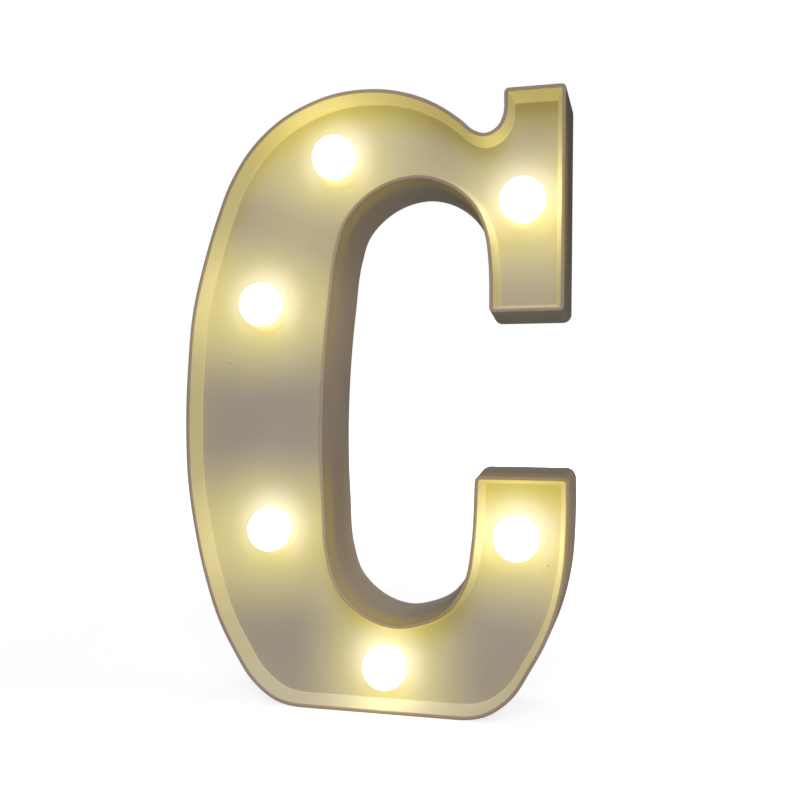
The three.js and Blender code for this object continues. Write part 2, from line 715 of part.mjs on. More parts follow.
// The supply's three wires: cell to the third board, cell to the switch and switch to the third board
const supply_pad = 4.6; // from the board's centre to the pads of the supply
const minus_past_collar_offsets = [[6.7, -8.5], [13.7, -2.2]];
const minus_to_switch_offset = [3.2, -15.8];
const feed_to_switch_offset = [-4.2, -13.6];

function supplyWires() {
  const third = lamps[2];
  const tail_end = bay_top + bay.wall + plate.tail_length + solder_gap;
  const tail = (index) => new THREE.Vector3(cells[index].x, tail_depth + plate.thickness / 2, tail_end);
  const above = (index) => tail(index).add(new THREE.Vector3(0, 0, wire_radius * 2));
  const touch = board_back + solder_gap;
  const pin_end = slide_front - slide.pin_reach - solder_gap;
  const middle_pin_x = slide_centre.x + slide.travel / 2;
  const pin = (side) => new THREE.Vector3(middle_pin_x + side * slide.pin_pitch, pin_end, slide_centre.y);
  const below = (point) => point.clone().add(new THREE.Vector3(0, -lane.lift, 0));
  const left_pad = new THREE.Vector2(third.x - supply_pad, third.y);
  const right_pad = new THREE.Vector2(third.x + supply_pad, third.y);
  const beside = new THREE.Vector2(cells[0].x, third.y);
  const by_collar = ([x, z]) => deep(new THREE.Vector2(third.x + x, third.y + z), tail_depth);
  const by_switch = ([x, z], y) => deep(new THREE.Vector2(slide_centre.x + x, slide_centre.y + z), y);
  return {
    wire_plus: [tail(0), above(0), deep(beside, touch + lane.lift), deep(left_pad, touch + lane.lift),
      deep(left_pad, touch)],
    wire_minus: [tail(1), above(1), ...minus_past_collar_offsets.map(by_collar),
      by_switch(minus_to_switch_offset, tail_depth), below(pin(1)), pin(1)],
    wire_switched: [deep(right_pad, touch), deep(right_pad, touch + lane.lift),
      by_switch(feed_to_switch_offset, board_back + lane.lift), below(pin(-1)), pin(-1)],
  };
}

// Materials
const plastic = (color, roughness) => new THREE.MeshStandardMaterial({ color, roughness, metalness: 0 });
const metal = (color, roughness) => new THREE.MeshStandardMaterial({ color, roughness, metalness: 1 });
const shell_white = () => plastic(0xe9e5dc, 0.4);
const cover_white = () => plastic(0xe4e0d8, 0.5);
const frosted = () => new THREE.MeshStandardMaterial({
  color: 0xfff8e0, roughness: 0.45, metalness: 0, emissive: 0xffe7a0, emissiveIntensity: 0.9,
});
const led_clear = () => plastic(0xfff2c0, 0.2);
const board_green = () => plastic(0x2f6b45, 0.5);
const cell_jacket = () => plastic(0x3b5f8c, 0.35);
const steel = () => metal(0xb9bcc0, 0.35);
const nickel = () => metal(0xd0ccc0, 0.3);
const switch_black = () => plastic(0x222222, 0.5);
const wire_red = () => plastic(0xa51e1e, 0.5);
const wire_black = () => plastic(0x1c1c1c, 0.5);

const letter = new THREE.Group();

function place(name, shape, material) {
  const geometry = shape.isBufferGeometry ? shape : geometryOf(shape);
  const mesh = new THREE.Mesh(geometry, material);
  mesh.name = name;
  letter.add(mesh);
}

place('front_shell', frontShell(), shell_white());
place('back_cover', backCover(), cover_white());
place('battery_lid', batteryLid(), cover_white());

lamps.forEach(({ x, y }, i) => {
  place(`globe_cap_${i + 1}`, globeCap().translate(x, 0, y), frosted());
  place(`led_${i + 1}`, ledBody().translate(x, 0, y), led_clear());
  place(`led_board_${i + 1}`, bar(board.radius, board_front, board_back, x, y), board_green());
});

screws.forEach((spot, i) => place(`case_screw_${i + 1}`, caseScrew(spot), steel()));

cells.forEach((spot, i) => place(`battery_cell_${i + 1}`, batteryCell(spot), cell_jacket()));
const cell_spans = cells.map(({ bottom }) => [bottom, bottom + cell_length]);
place('contact_plus', contactPlate([cells[0].x], bay_top, -1, true), nickel());
place('contact_minus', contactPlate([cells[1].x], bay_top, -1, true), nickel());
place('contact_bridge', contactPlate(cells.map(({ x }) => x), bay_bottom, 1, false), nickel());
const bottom_seat = bay_bottom + plate.thickness;
const top_seat = bay_top - plate.thickness;
place('contact_spring_1', contactSpring(cells[0].x, bottom_seat, cell_spans[0][0]), nickel());
place('contact_spring_2', contactSpring(cells[1].x, top_seat, cell_spans[1][1]), nickel());
const curl_gap = leastCurlGap(spring_length + bay.end_gap);
console.log(`least gap between a spring's curls: ${curl_gap.toFixed(2)} mm`);

place('switch_body', switchBody(), switch_black());
place('switch_knob', switchKnob(), switch_black());
[-1, 0, 1].forEach((side, i) => place(`switch_pin_${i + 1}`, switchPin(side), nickel()));

const route = chainRoute();
const board_stops = route.flatMap((stop, i) => (stop.lamp === undefined ? [] : [i]));
for (let i = 0; i + 1 < board_stops.length; i++) {
  place(`wire_red_${i + 1}`, hopWire(route, board_stops[i], board_stops[i + 1], -1), wire_red());
  place(`wire_black_${i + 1}`, hopWire(route, board_stops[i], board_stops[i + 1], 1), wire_black());
}
for (const [name, points] of Object.entries(supplyWires())) {
  place(name, wireThrough(points), name === 'wire_plus' ? wire_red() : wire_black());
}

// The origin is the middle of the base, below the centre of everything
const box = new THREE.Box3().setFromObject(letter);
letter.position.set(-(box.min.x + box.max.x) / 2, -(box.min.y + box.max.y) / 2, -box.min.z);

export default letter;
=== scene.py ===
import math

import bmesh
import bpy
from mathutils import Matrix, Vector


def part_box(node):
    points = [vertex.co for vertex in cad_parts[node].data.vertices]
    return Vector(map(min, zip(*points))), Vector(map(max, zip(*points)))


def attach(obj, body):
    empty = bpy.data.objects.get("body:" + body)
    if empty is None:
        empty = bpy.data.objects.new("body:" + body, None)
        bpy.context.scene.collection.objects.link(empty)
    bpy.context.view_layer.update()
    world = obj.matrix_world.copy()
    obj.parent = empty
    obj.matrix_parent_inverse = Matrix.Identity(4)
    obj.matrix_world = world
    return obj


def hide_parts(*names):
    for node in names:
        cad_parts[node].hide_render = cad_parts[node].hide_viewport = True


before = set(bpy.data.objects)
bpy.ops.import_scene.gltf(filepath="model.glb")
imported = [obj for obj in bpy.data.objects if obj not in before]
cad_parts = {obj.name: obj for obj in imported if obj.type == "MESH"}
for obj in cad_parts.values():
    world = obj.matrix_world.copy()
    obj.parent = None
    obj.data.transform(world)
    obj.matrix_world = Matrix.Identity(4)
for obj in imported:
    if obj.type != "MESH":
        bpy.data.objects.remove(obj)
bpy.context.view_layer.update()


# The camera stands to the right of the letter and level with its middle, turned a little to the left. Its
# place and lens make the letter's edges and the walls of its counter fall where the photograph shows them.
def put(name, data):
    """Puts an object into the scene"""
    thing = bpy.data.objects.new(name, data)
    bpy.context.scene.collection.objects.link(thing)
    return thing


camera_data = bpy.data.cameras.new("camera")
camera_data.sensor_width = 36
camera_data.lens = 39.23
camera_data.clip_start = 0.01
camera = put("camera", camera_data)
camera.location = (0.0797, -0.3091, 0.1083)
camera.rotation_euler = (math.radians(90.33), 0, math.radians(12.92))
bpy.context.scene.camera = camera
bpy.context.scene.view_settings.view_transform = "Standard"


# The studio is a plain pale floor under a dim sky, with soft lamps beside the camera, above, at the left and
# behind, and a narrow one low at the right. The camera sees floor and sky as white, and the floor keeps a
# faint shadow.
class Value:
    """A socket of a node tree. Maths on it adds Math nodes."""

    def __init__(self, nodes, socket):
        self.nodes = nodes
        self.socket = socket

    def maths(self, operation, *inputs):
        return self.nodes.node("ShaderNodeMath", {"operation": operation}, dict(enumerate(inputs)))

    def __add__(self, other):
        return self.maths("ADD", self, other)

    def __sub__(self, other):
        return self.maths("SUBTRACT", self, other)

    def __rsub__(self, other):
        return self.maths("SUBTRACT", other, self)

    def __mul__(self, other):
        return self.maths("MULTIPLY", self, other)

    def __gt__(self, other):
        return self.maths("GREATER_THAN", self, other)

    def __lt__(self, other):
        return self.maths("LESS_THAN", self, other)

    def __abs__(self):
        return self.maths("ABSOLUTE", self)

    def fade(self, start, end, low=0, high=1):
        """Goes smoothly from low to high as the value goes from start to end"""
        return self.nodes.node(
            "ShaderNodeMapRange", {"interpolation_type": "SMOOTHSTEP"},
            {"Value": self, "From Min": start, "From Max": end, "To Min": low, "To Max": high},
        )

    __radd__ = __add__
    __rmul__ = __mul__


class Nodes:
    """A node tree that is filled one node at a time."""

    def __init__(self, tree):
        self.tree = tree

    def node(self, kind, settings=None, sockets=None, output=0):
        made = self.tree.nodes.new(kind)
        for name, value in (settings or {}).items():
            setattr(made, name, value)
        for name, value in (sockets or {}).items():
            self.feed(made.inputs[name], value)
        return Value(self, made.outputs[output])

    def feed(self, socket, value):
        if isinstance(value, Value):
            self.tree.links.new(value.socket, socket)
        else:
            socket.default_value = value

    def mixed(self, mask, first, second, kind="MIX"):
        """One colour over another, as much as the mask says"""
        settings = {"data_type": "RGBA", "blend_type": kind}
        return self.node("ShaderNodeMix", settings, {0: mask, 6: first, 7: second}, output=2)

    def lit(self, mask, colour):
        """Light of one colour, as strong as the mask says"""
        return self.mixed(mask, (0, 0, 0, 1), colour)

    def place(self):
        """Where a point is in the frame"""
        return self.node("ShaderNodeTexCoord", output="Object")

    def axis(self, vector, name):
        return self.node("ShaderNodeSeparateXYZ", sockets={0: vector}, output=name)

    def distance(self, place, spot):
        settings = {"operation": "DISTANCE"}
        return self.node("ShaderNodeVectorMath", settings, {0: place, 1: spot}, output="Value")


class Finish(Nodes):
    """A material. Plain values go onto the shader's own sockets, and what varies is linked to them."""

    def __init__(self, name, **sockets):
        self.material = bpy.data.materials.new(name)
        self.material.use_nodes = True
        super().__init__(self.material.node_tree)
        self.shader = self.tree.nodes["Principled BSDF"]
        self.set(**sockets)

    def set(self, **sockets):
        for name, value in sockets.items():
            self.feed(self.shader.inputs[name.replace("_", " ").title().replace("Ior", "IOR")], value)


def paint(red, green, blue):
    """A colour as a screen shows it, 0 to 255, as the shader needs it"""
    def linear(c):
        return c / 12.92 if c <= 0.04045 else ((c + 0.055) / 1.055) ** 2.4
    return (*(linear(c / 255) for c in (red, green, blue)), 1)


def seen_or_mirrored(nodes):
    """1 where the camera sees it, straight or through gloss and glass"""
    kinds = ("Is Camera Ray", "Is Glossy Ray", "Is Transmission Ray")
    first, second, third = (nodes.node("ShaderNodeLightPath", output=kind) for kind in kinds)
    return first + second + third


floor_shade = paint(152, 152, 154)
floor_whites = (0.78, 1)
floor_white_reach = (0.15, 0.7)
plain_white = (1, 1, 1, 1)
floor_corners = [(-6, -6, 0), (6, -6, 0), (6, 6, 0), (-6, 6, 0)]
floor_mesh = bpy.data.meshes.new("floor")
floor_mesh.from_pydata(floor_corners, [], [(0, 1, 2, 3)])
floor = put("floor", floor_mesh)
floor_finish = Finish("pale floor", base_color=floor_shade, roughness=0.9)
from_letter = floor_finish.distance(floor_finish.place(), (0, 0, 0))
white = floor_finish.node("ShaderNodeMixShader", sockets={
    0: seen_or_mirrored(floor_finish) * from_letter.fade(*floor_white_reach, *floor_whites),
    2: floor_finish.node("ShaderNodeEmission", sockets={"Color": plain_white, "Strength": 1}),
})
shaded_floor = Value(floor_finish, floor_finish.shader.outputs[0])
bright = floor_finish.node("ShaderNodeAddShader", sockets={0: shaded_floor, 1: white})
floor_finish.feed(floor_finish.tree.nodes["Material Output"].inputs["Surface"], bright)
floor_mesh.materials.append(floor_finish.material)

sky_level = 0.07
sky_colour = (0.97, 0.98, 1, 1)
world = bpy.data.worlds.new("sky")
world.use_nodes = True
bpy.context.scene.world = world
sky = Nodes(world.node_tree)
sky_light = sky.node("ShaderNodeBackground", sockets={"Color": sky_colour, "Strength": sky_level})
sky_white = sky.node("ShaderNodeBackground", sockets={"Color": plain_white, "Strength": 1})
sky_both = sky.node("ShaderNodeMixShader", sockets={0: seen_or_mirrored(sky), 1: sky_light, 2: sky_white})
sky.feed(world.node_tree.nodes["World Output"].inputs["Surface"], sky_both)


def soft_lamp(name, place, size, watts, target=(0, 0, 0.11), colour=(1, 1, 1), spread=180):
    data = bpy.data.lights.new(name, "AREA")
    data.shape = "DISK"
    data.size = size
    data.energy = watts
    data.color = colour
    data.spread = math.radians(spread)
    lamp = put(name, data)
    lamp.location = place
    lamp.visible_camera = False
    lamp.rotation_euler = (Vector(target) - Vector(place)).to_track_quat("-Z", "Y").to_euler()


soft_lamp("front_lamp", (0.07, -0.36, 0.11), 0.16, 0.42)
soft_lamp("ceiling_lamp", (0.1, -1, 1.02), 0.8, 7.1, (0, 0, 0.1))
soft_lamp("top_lamp", (-0.1, 0.15, 1.4), 0.4, 1.4, (0, 0, 0.1))
soft_lamp("left_lamp", (-1.2, 0.35, 0.25), 0.5, 2.5)
soft_lamp("right_lamp", (0.27, 0.04, 0.055), 0.06, 0.014, (0.07, 0, 0.055), (1, 0.9, 0.87), spread=60)
soft_lamp("back_lamp", (0.04, 1.4, 0.11), 0.14, 13)


# The front shell is one moulding in ivory plastic: a letter with slab serifs, its face sunk behind a thin
# rim, with six round holes for the globes. Its hidden side has a collar round each hole and the bosses for
# the screws.
letter_width = 139.5
letter_height = 220
shell_depth = 29
wall_flare = 1.5
recess_depth = 8
floor_back = 9.6
ledge_depth = 26
collar_radius = 8.2
collar_bore = 7
collar_back = 14.6
boss_radius = 3
pilot_radius = 1.4
pilot_front = 17
neck_hole_radius = 5.5
weld = 0.5
overrun = 1
outline_step = 1.6
outline_turn = math.radians(3.5)
corner_steps = 8
smallest_corner = 0.4
origin = Vector((69.75, 12.25, 0))

bowl_shares = [
    (0.719, 0), (0.793, 0.0072), (0.857, 0.0358), (0.908, 0.0854), (0.947, 0.1328), (0.976, 0.1878),
    (0.9915, 0.2392), (0.998, 0.295), (1, 0.34),
]
counter_shares = [
    (0.769, 0.344), (0.762, 0.273), (0.745, 0.217), (0.695, 0.169), (0.625, 0.1475), (0.571, 0.142),
    (0.522, 0.148), (0.4725, 0.1645), (0.421, 0.1985), (0.395, 0.248), (0.3845, 0.331), (0.379, 0.438),
    (0.385, 0.554), (0.4, 0.657), (0.419, 0.744), (0.4415, 0.787), (0.489, 0.821), (0.554, 0.844),
    (0.629, 0.851), (0.712, 0.834), (0.771, 0.798), (0.7955, 0.76), (0.805, 0.715), (0.807, 0.6795),
]
arch_shares = [
    (0.844, 0.959), (0.8405, 0.9415), (0.826, 0.925), (0.799, 0.9165), (0.773, 0.9205), (0.737, 0.94),
    (0.685, 0.964), (0.621, 0.984), (0.5535, 0.996), (0.476, 1), (0.4055, 0.996), (0.335, 0.983),
    (0.2615, 0.9598), (0.179, 0.9137), (0.127, 0.864), (0.086, 0.801), (0.051, 0.731), (0.0205, 0.652),
    (0.005, 0.554), (0, 0.4515), (0.0063, 0.362), (0.026, 0.2825), (0.058, 0.199), (0.0945, 0.1337),
    (0.138, 0.083), (0.1876, 0.038), (0.254, 0.0076), (0.3315, 0),
]
terminal_corner = 2.2
serif_corner = 1.6
front_path = [
    bowl_shares,
    ((1, 0.3818), terminal_corner), ((0.771, 0.3818), terminal_corner),
    counter_shares,
    ((0.807, 0.636), serif_corner), ((0.988, 0.636), serif_corner),
    ((0.9935, 0.984), serif_corner), ((0.844, 0.984), serif_corner),
    arch_shares,
]


def at(shares):
    return Vector((shares[0] * letter_width, shares[1] * letter_height))


def outward(direction):
    return Vector((direction.y, -direction.x))


def curve_stations(knots, before, after):
    """Points and outward directions along a smooth curve through the knots"""
    tangents = [(knots[0] - before).normalized()]
    for back, knot, ahead in zip(knots, knots[1:], knots[2:]):
        came, goes = knot - back, ahead - knot
        tangents.append((came.normalized() * goes.length + goes.normalized() * came.length).normalized())
    tangents.append((after - knots[-1]).normalized())
    stations = []
    for i in range(len(knots) - 1):
        chord = (knots[i + 1] - knots[i]).length
        b = knots[i] + tangents[i] * chord / 3
        c = knots[i + 1] - tangents[i + 1] * chord / 3
        turn = tangents[i].angle(tangents[i + 1], 0)
        steps = max(math.ceil(chord / outline_step), math.ceil(turn / outline_turn))
        for k in range(0 if i == 0 else 1, steps + 1):
            t = k / steps
            s = 1 - t
            point = knots[i] * s ** 3 + b * 3 * s * s * t + c * 3 * s * t * t + knots[i + 1] * t ** 3
            slope = (b - knots[i]) * s * s + (c - b) * 2 * s * t + (knots[i + 1] - c) * t * t
            stations.append((point, outward(slope.normalized())))
    return stations


def outline_stations():
    def ends(piece):
        return at(piece[0]), at(piece[-1] if isinstance(piece, list) else piece[0])
    stations = []
    for i, piece in enumerate(front_path):
        before = ends(front_path[i - 1])[1]
        after = ends(front_path[(i + 1) % len(front_path)])[0]
        if isinstance(piece, list):
            stations += curve_stations([at(shares) for shares in piece], before, after)
        else:
            tip = at(piece[0])
            stations.append((tip, (tip - before).normalized(), (after - tip).normalized(), piece[1]))
    return stations


front_stations = outline_stations()


def outline_ring(offset, base=0):
    """The letter's outline moved outward by offset, in millimetres, and never lower than base"""
    points = []
    for station in front_stations:
        if len(station) == 2:
            points.append(station[0] + station[1] * offset)
            continue
        tip, enter, leave, corner = station
        a, b = outward(enter), outward(leave)
        radius = max(corner + offset, smallest_corner)
        turn = enter.angle(leave)
        centre = tip + (a + b) / (1 + a.dot(b)) * offset - enter * radius * math.tan(turn / 2) - a * radius
        start = math.atan2(a.y, a.x)
        for k in range(corner_steps + 1):
            angle = start + turn * k / corner_steps
            points.append(centre + Vector((math.cos(angle), math.sin(angle))) * radius)
    return [(point.x, max(point.y, base)) for point in points]


def loft(rings):
    """A closed skin over rings with the same number of points; each ring is a depth and its points"""
    count = len(rings[0][1])
    verts = [(x, y, z) for y, points in rings for x, z in points]
    faces = [
        (r * count + i, r * count + (i + 1) % count, (r + 1) * count + (i + 1) % count, (r + 1) * count + i)
        for r in range(len(rings) - 1) for i in range(count)
    ]
    last = (len(rings) - 1) * count
    return verts, faces + [tuple(range(count)), tuple(range(last, last + count))]


def rounded(start, corner, end, steps=5):
    """Points on a round that leaves start towards corner and arrives at end from it"""
    return [
        tuple(s * (1 - t) ** 2 + c * 2 * t * (1 - t) + e * t * t for s, c, e in zip(start, corner, end))
        for t in (k / steps for k in range(steps + 1))
    ]


def lathe(profile, centre=(0, 0), sides=48, upright=False):
    """A turned form from a profile of radius and depth. Upright ones stand on a centre of x and depth"""
    verts, rows = [], []
    for radius, along in profile:
        count = 1 if radius == 0 else sides
        rows.append(range(len(verts), len(verts) + count))
        for k in range(count):
            angle = 2 * math.pi * k / sides
            a, b = centre[0] + radius * math.cos(angle), centre[1] + radius * math.sin(angle)
            verts.append((a, b, along) if upright else (a, along, b))
    faces = []
    for lower, upper in zip(rows, rows[1:]):
        for k in range(sides):
            corners = [lower[k % len(lower)], lower[(k + 1) % len(lower)]]
            corners += [upper[(k + 1) % len(upper)], upper[k % len(upper)]]
            faces.append(tuple(dict.fromkeys(corners)))
    for row, radius in ((rows[0], profile[0][0]), (rows[-1], profile[-1][0])):
        if radius:
            faces.append(tuple(row))
    return verts, [face for face in faces if len(face) > 2]


def tube_ring(outer, inner, front, back, centre, sides=48):
    """A round collar: its outer wall, back edge, bore and front edge"""
    verts, faces = lathe([(outer, front), (outer, back), (inner, back), (inner, front)], centre, sides)
    faces = faces[:-2]
    faces += [(3 * sides + k, 3 * sides + (k + 1) % sides, (k + 1) % sides, k) for k in range(sides)]
    return verts, faces


def together(forms):
    verts, faces = [], []
    for points, sides in forms:
        faces += [tuple(len(verts) + i for i in side) for side in sides]
        verts += points
    return verts, faces


def in_frame(point):
    """A point in the letter's millimetres as a place in the frame"""
    return (Vector(point) - origin) / 1000


def make(name, form, finishes=(), patches=None):
    verts, faces = form
    mesh = bpy.data.meshes.new(name)
    mesh.from_pydata([in_frame(point) for point in verts], [], faces)
    for finish in finishes:
        mesh.materials.append(finish.material)
    if patches:
        mesh.polygons.foreach_set("material_index", patches)
    work = bmesh.new()
    work.from_mesh(mesh)
    bmesh.ops.recalc_face_normals(work, faces=work.faces)
    work.to_mesh(mesh)
    work.free()
    return put(name, mesh)


def finished_mesh(thing):
    return bpy.data.meshes.new_from_object(thing.evaluated_get(bpy.context.evaluated_depsgraph_get()))


def settle(piece):
    """Makes the piece's modifiers part of its mesh"""
    old = piece.data
    mesh = finished_mesh(piece)
    piece.modifiers.clear()
    piece.data = mesh
    bpy.data.meshes.remove(old)


def carve(piece, operation, forms, patch=0):
    """Joins forms that don't touch each other to a piece, or cuts them out of it"""
    form = together(forms)
    tool = make("tool", form, patches=[patch] * len(form[1]))
    for slot in piece.material_slots:
        tool.data.materials.append(slot.material)
    step = piece.modifiers.new("carve", "BOOLEAN")
    step.operation = operation
    step.solver = "EXACT"
    step.object = tool
    settle(piece)
    bpy.data.objects.remove(tool)


def fit(piece, body, slot, *nodes, sharp=32):
    """Smooths the piece's rounds, ties it to its body and hides the solids that it stands for. The slot is
    not used.
    """
    piece.data.shade_smooth()
    piece.data.set_sharp_from_angle(angle=math.radians(sharp))
    weighted = piece.modifiers.new("even normals", "WEIGHTED_NORMAL")
    weighted.keep_sharp = True
    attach(piece, body)
    if nodes:
        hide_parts(*nodes)


def middle(node):
    """Where a node's axis is in the letter's width and height"""
    low, high = (corner * 1000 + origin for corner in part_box(node))
    return ((low.x + high.x) / 2, (low.z + high.z) / 2)


def noise(finish, scale, detail):
    sockets = {"Vector": finish.place(), "Scale": scale, "Detail": detail}
    return finish.node("ShaderNodeTexNoise", sockets=sockets)


def bump(finish, height, strength, distance=0.0001):
    sockets = {"Strength": strength, "Distance": distance, "Height": height}
    return finish.node("ShaderNodeBump", sockets=sockets)


def clouded(finish, cloud, light, dark, roughness, **others):
    """Colour and gloss that follow the same cloudy pattern"""
    body = finish.mixed(cloud, light, dark)
    finish.set(base_color=body, roughness=cloud.fade(0.2, 0.8, *roughness), **others)


def moulded(finish, light, dark, drift=30, grain=1600, relief=0.02, roughness=(0.45, 0.58)):
    """A plastic's colour that drifts a little, with a fine mould texture and patches of duller gloss"""
    slow = noise(finish, drift, 4)
    fine = noise(finish, grain, 2)
    body = finish.mixed(slow.fade(0.3, 0.7) * 0.8 + fine * 0.2, light, dark)
    texture = bump(finish, fine, relief, 0.0002)
    finish.set(base_color=body, roughness=slow.fade(0.25, 0.75, *roughness), normal=texture)
    return body


lamp_spots = [middle(f"globe_cap_{i}") for i in range(1, 7)]
screw_spots = [middle(f"case_screw_{i}") for i in range(1, 8)]
shell_light = paint(178, 168, 155)
shell_dark = paint(171, 160, 146)


def scene_depths(*depths):
    """Depths in the letter's millimetres as places along the frame's Y"""
    return [(depth - origin.y) / 1000 for depth in depths]


def floor_spot(x, z):
    return in_frame((x, recess_depth, z))


lamp_foot = 0.006
upright_strokes = (True, True, True, True, False, True)


def near_lamps(finish, reach, across=1, shares=(1,) * 6, clear=0, shifts=((0, 0),) * 6):
    """Goes from 1 near a lamp to 0 at a distance, and less soon across the stroke that the lamp stands in"""
    total = 0
    place = finish.place()
    for (x, z), (right, up), upright, share in zip(lamp_spots, shifts, upright_strokes, shares):
        squeeze = Vector((across, 1, 1) if upright else (1, 1, across))
        from_lamp = finish.node(
            "ShaderNodeVectorMath", {"operation": "MULTIPLY_ADD"},
            {0: place, 1: squeeze, 2: -floor_spot(x + right, z + up) * squeeze},
        )
        light = finish.distance(from_lamp, (0, 0, 0)).fade(lamp_foot, reach, share, 0)
        if clear:
            straight = finish.distance(place, floor_spot(x, z))
            light = light * straight.fade(clear * 0.7, clear, 0.5, 1)
        total = light + total
    return total


# Painted light: the sunk floor glows yellow round each lamp, standing in for the lamps' light and its bounce.
glow_reach = 0.038
glow_colour = (1, 0.92, 0.13, 1)
glow_level = 0.3
glow_clear = 0.0125
glow_shares = (0.74, 0.86, 1, 0.95, 0.85, 0.93)
glow_shifts = ((0, -3), (-3, 1), (-4, 0), (-4, -3), (0, 0), (0, 2))
across_share = 0.7
# Painted light: a bluish-white halo lies on the floor close round each globe, a little above its middle.
bloom_reach = 0.018
bloom_colour = (0.35, 0.5, 1, 1)
bloom_level = 0.17
bloom_shift = (0, 2)
sunk_floor = Finish("ivory floor with painted lamp light and shade", specular_ior_level=0.03, emission_strength=1)
floor_body = moulded(sunk_floor, shell_light, shell_dark)
glow = near_lamps(sunk_floor, glow_reach, across_share, glow_shares, glow_clear, glow_shifts)
bloom = near_lamps(sunk_floor, bloom_reach, shifts=(bloom_shift,) * 6)
glow_light = sunk_floor.lit(glow * glow_level, glow_colour)
bloom_light = sunk_floor.lit(bloom * bloom_level, bloom_colour)
floor_light = sunk_floor.mixed(1, glow_light, bloom_light, "ADD")

speck_spots = [(9.5, 186), (8.5, 172.8), (14, 124), (113, 147.5), (132, 52.8)]
speck_size = 0.00026
speck_colour = paint(92, 78, 58)
speck_strength = 0.7
specks = 0
for x, z in speck_spots:
    away = sunk_floor.distance(sunk_floor.place(), floor_spot(x, z))
    specks = away.fade(speck_size, speck_size * 1.6, 1, 0) + specks
floor_body = sunk_floor.mixed(specks * speck_strength, floor_body, speck_colour)

# Painted shade: floor darker and yellower where walls or globes close it in; painted glow at walls' feet
shade_reach = 0.014
shade_span = (0.08, 0.5)
shade_tint = (1, 0.97, 0.55, 1)
foot_colour = (1, 0.62, 0, 1)
foot_level = 0.07
foot_span = (0, 0.3)
upward = sunk_floor.node("ShaderNodeCombineXYZ", sockets={1: -0.15, 2: 0.99})
open_above = sunk_floor.node(
    "ShaderNodeAmbientOcclusion", {"samples": 8}, {"Distance": shade_reach, "Normal": upward}, output="AO",
)
shaded = open_above.fade(*shade_span, 1, 0)
foot_light = sunk_floor.lit(open_above.fade(*foot_span, foot_level, 0), foot_colour)
sunk_floor.set(
    base_color=sunk_floor.mixed(shaded, floor_body, shade_tint, "MULTIPLY"),
    emission_color=sunk_floor.mixed(1, floor_light, foot_light, "ADD"),
)

# Painted light: the sunk walls glow yellow, more near lamps, yellower facing down and paler facing up.
wall_far_level = 0.22
wall_near_level = 0.44
side_glow_colour = (1, 0.88, 0.26, 1)
under_glow_colour = (1, 0.83, 0.02, 1)
over_glow_colour = (0.8, 0.8, 0.5, 1)
facing_down = (-0.8, -0.2)
facing_up = (0.2, 0.8)
sunk_wall = Finish("ivory wall with painted lamp light", specular_ior_level=0.03, emission_strength=1)
moulded(sunk_wall, shell_light, shell_dark)
wall_light = near_lamps(sunk_wall, glow_reach) * (wall_near_level - wall_far_level) + wall_far_level
facing = sunk_wall.axis(sunk_wall.node("ShaderNodeNewGeometry", output="Normal"), "Z")
wall_colour = sunk_wall.mixed(facing.fade(*facing_down, 1, 0), side_glow_colour, under_glow_colour)
wall_colour = sunk_wall.mixed(facing.fade(*facing_up), wall_colour, over_glow_colour)
sunk_wall.set(emission_color=sunk_wall.lit(wall_light, wall_colour))

rim_depths = scene_depths(0.3, 1.2)
lit_depths = scene_depths(floor_back - 4.5, floor_back + 2.5)
rim_shade_tint = (0.88, 0.8, 0.8, 1)
shining_reach = 0.047
lamp_light_shade_tint = (0.9, 0.78, 0.45, 1)
through_colour = (0.62, 0.5, 0.1, 1)
through_level = 0.18
warm_reach = 0.062
warm_shares = (0, 0.2, 1, 1, 0.35, 0)
warm_colour = (1, 0.68, 0.34, 1)
warm_level = 0.12
counter_left = (-0.027, -0.02)
counter_right = (0.006, 0.022)
outside = Finish("ivory moulding", specular_ior_level=0, emission_strength=1)
outside_body = moulded(outside, shell_light, shell_dark)
across, depth = (outside.axis(outside.place(), name) for name in "XY")
lit_depth = depth.fade(*lit_depths, 1, 0)
rim = depth.fade(*rim_depths, 1, 0)
in_counter = across.fade(*counter_left) * across.fade(*counter_right, 1, 0)
# Painted light and shade: near the lamps the outer walls' front third glows olive and turns yellower and
# darker.
shining = near_lamps(outside, shining_reach) * lit_depth * (1 - rim * 0.5)
through = outside.lit(shining * through_level, through_colour)
# Painted light: the walls round the counter glow warm, most near the two middle lamps.
warmed = near_lamps(outside, warm_reach, shares=warm_shares) * in_counter * warm_level
# Painted shade: the rim is coloured a little darker and pinker than the rest of the moulding.
rimmed_body = outside.mixed(rim, outside_body, rim_shade_tint, "MULTIPLY")
outside.set(
    base_color=outside.mixed(shining, rimmed_body, lamp_light_shade_tint, "MULTIPLY"),
    emission_color=outside.mixed(1, through, outside.lit(warmed, warm_colour), "ADD"),
)

# Each point of the section is an offset from the front outline, a depth and a height that it stays above
profile = [(-4, recess_depth, 0)]
profile += rounded((-3.35, recess_depth, 0), (-2.8, recess_depth, 0), (-2.687, 7.462, 0))
wall_foot = len(profile) - 4
wall_top = len(profile)
profile += rounded((-1.229, 0.489, 0), (-1.127, 0, 0), (-0.677, 0, 0))
profile += rounded((-0.45, 0, 0), (0, 0, 0), (0.026, 0.5, 0))
profile += rounded((1.4845, 28.7, 0), (wall_flare, shell_depth, 0), (1.2, shell_depth, 0), 3)
profile += [(0.55, shell_depth, 0.95), (0.4, 28.85, 1.1), (0.245, ledge_depth, 1.1), (-0.655, ledge_depth, 2)]
profile += [(-1.503, floor_back, 2)]
shell_form = loft([(y, outline_ring(offset, base)) for offset, y, base in profile])
ring_count = len(outline_ring(0))
patches = [(r >= wall_foot) + (r >= wall_top) for r in range(len(profile) - 1) for _ in range(ring_count)]
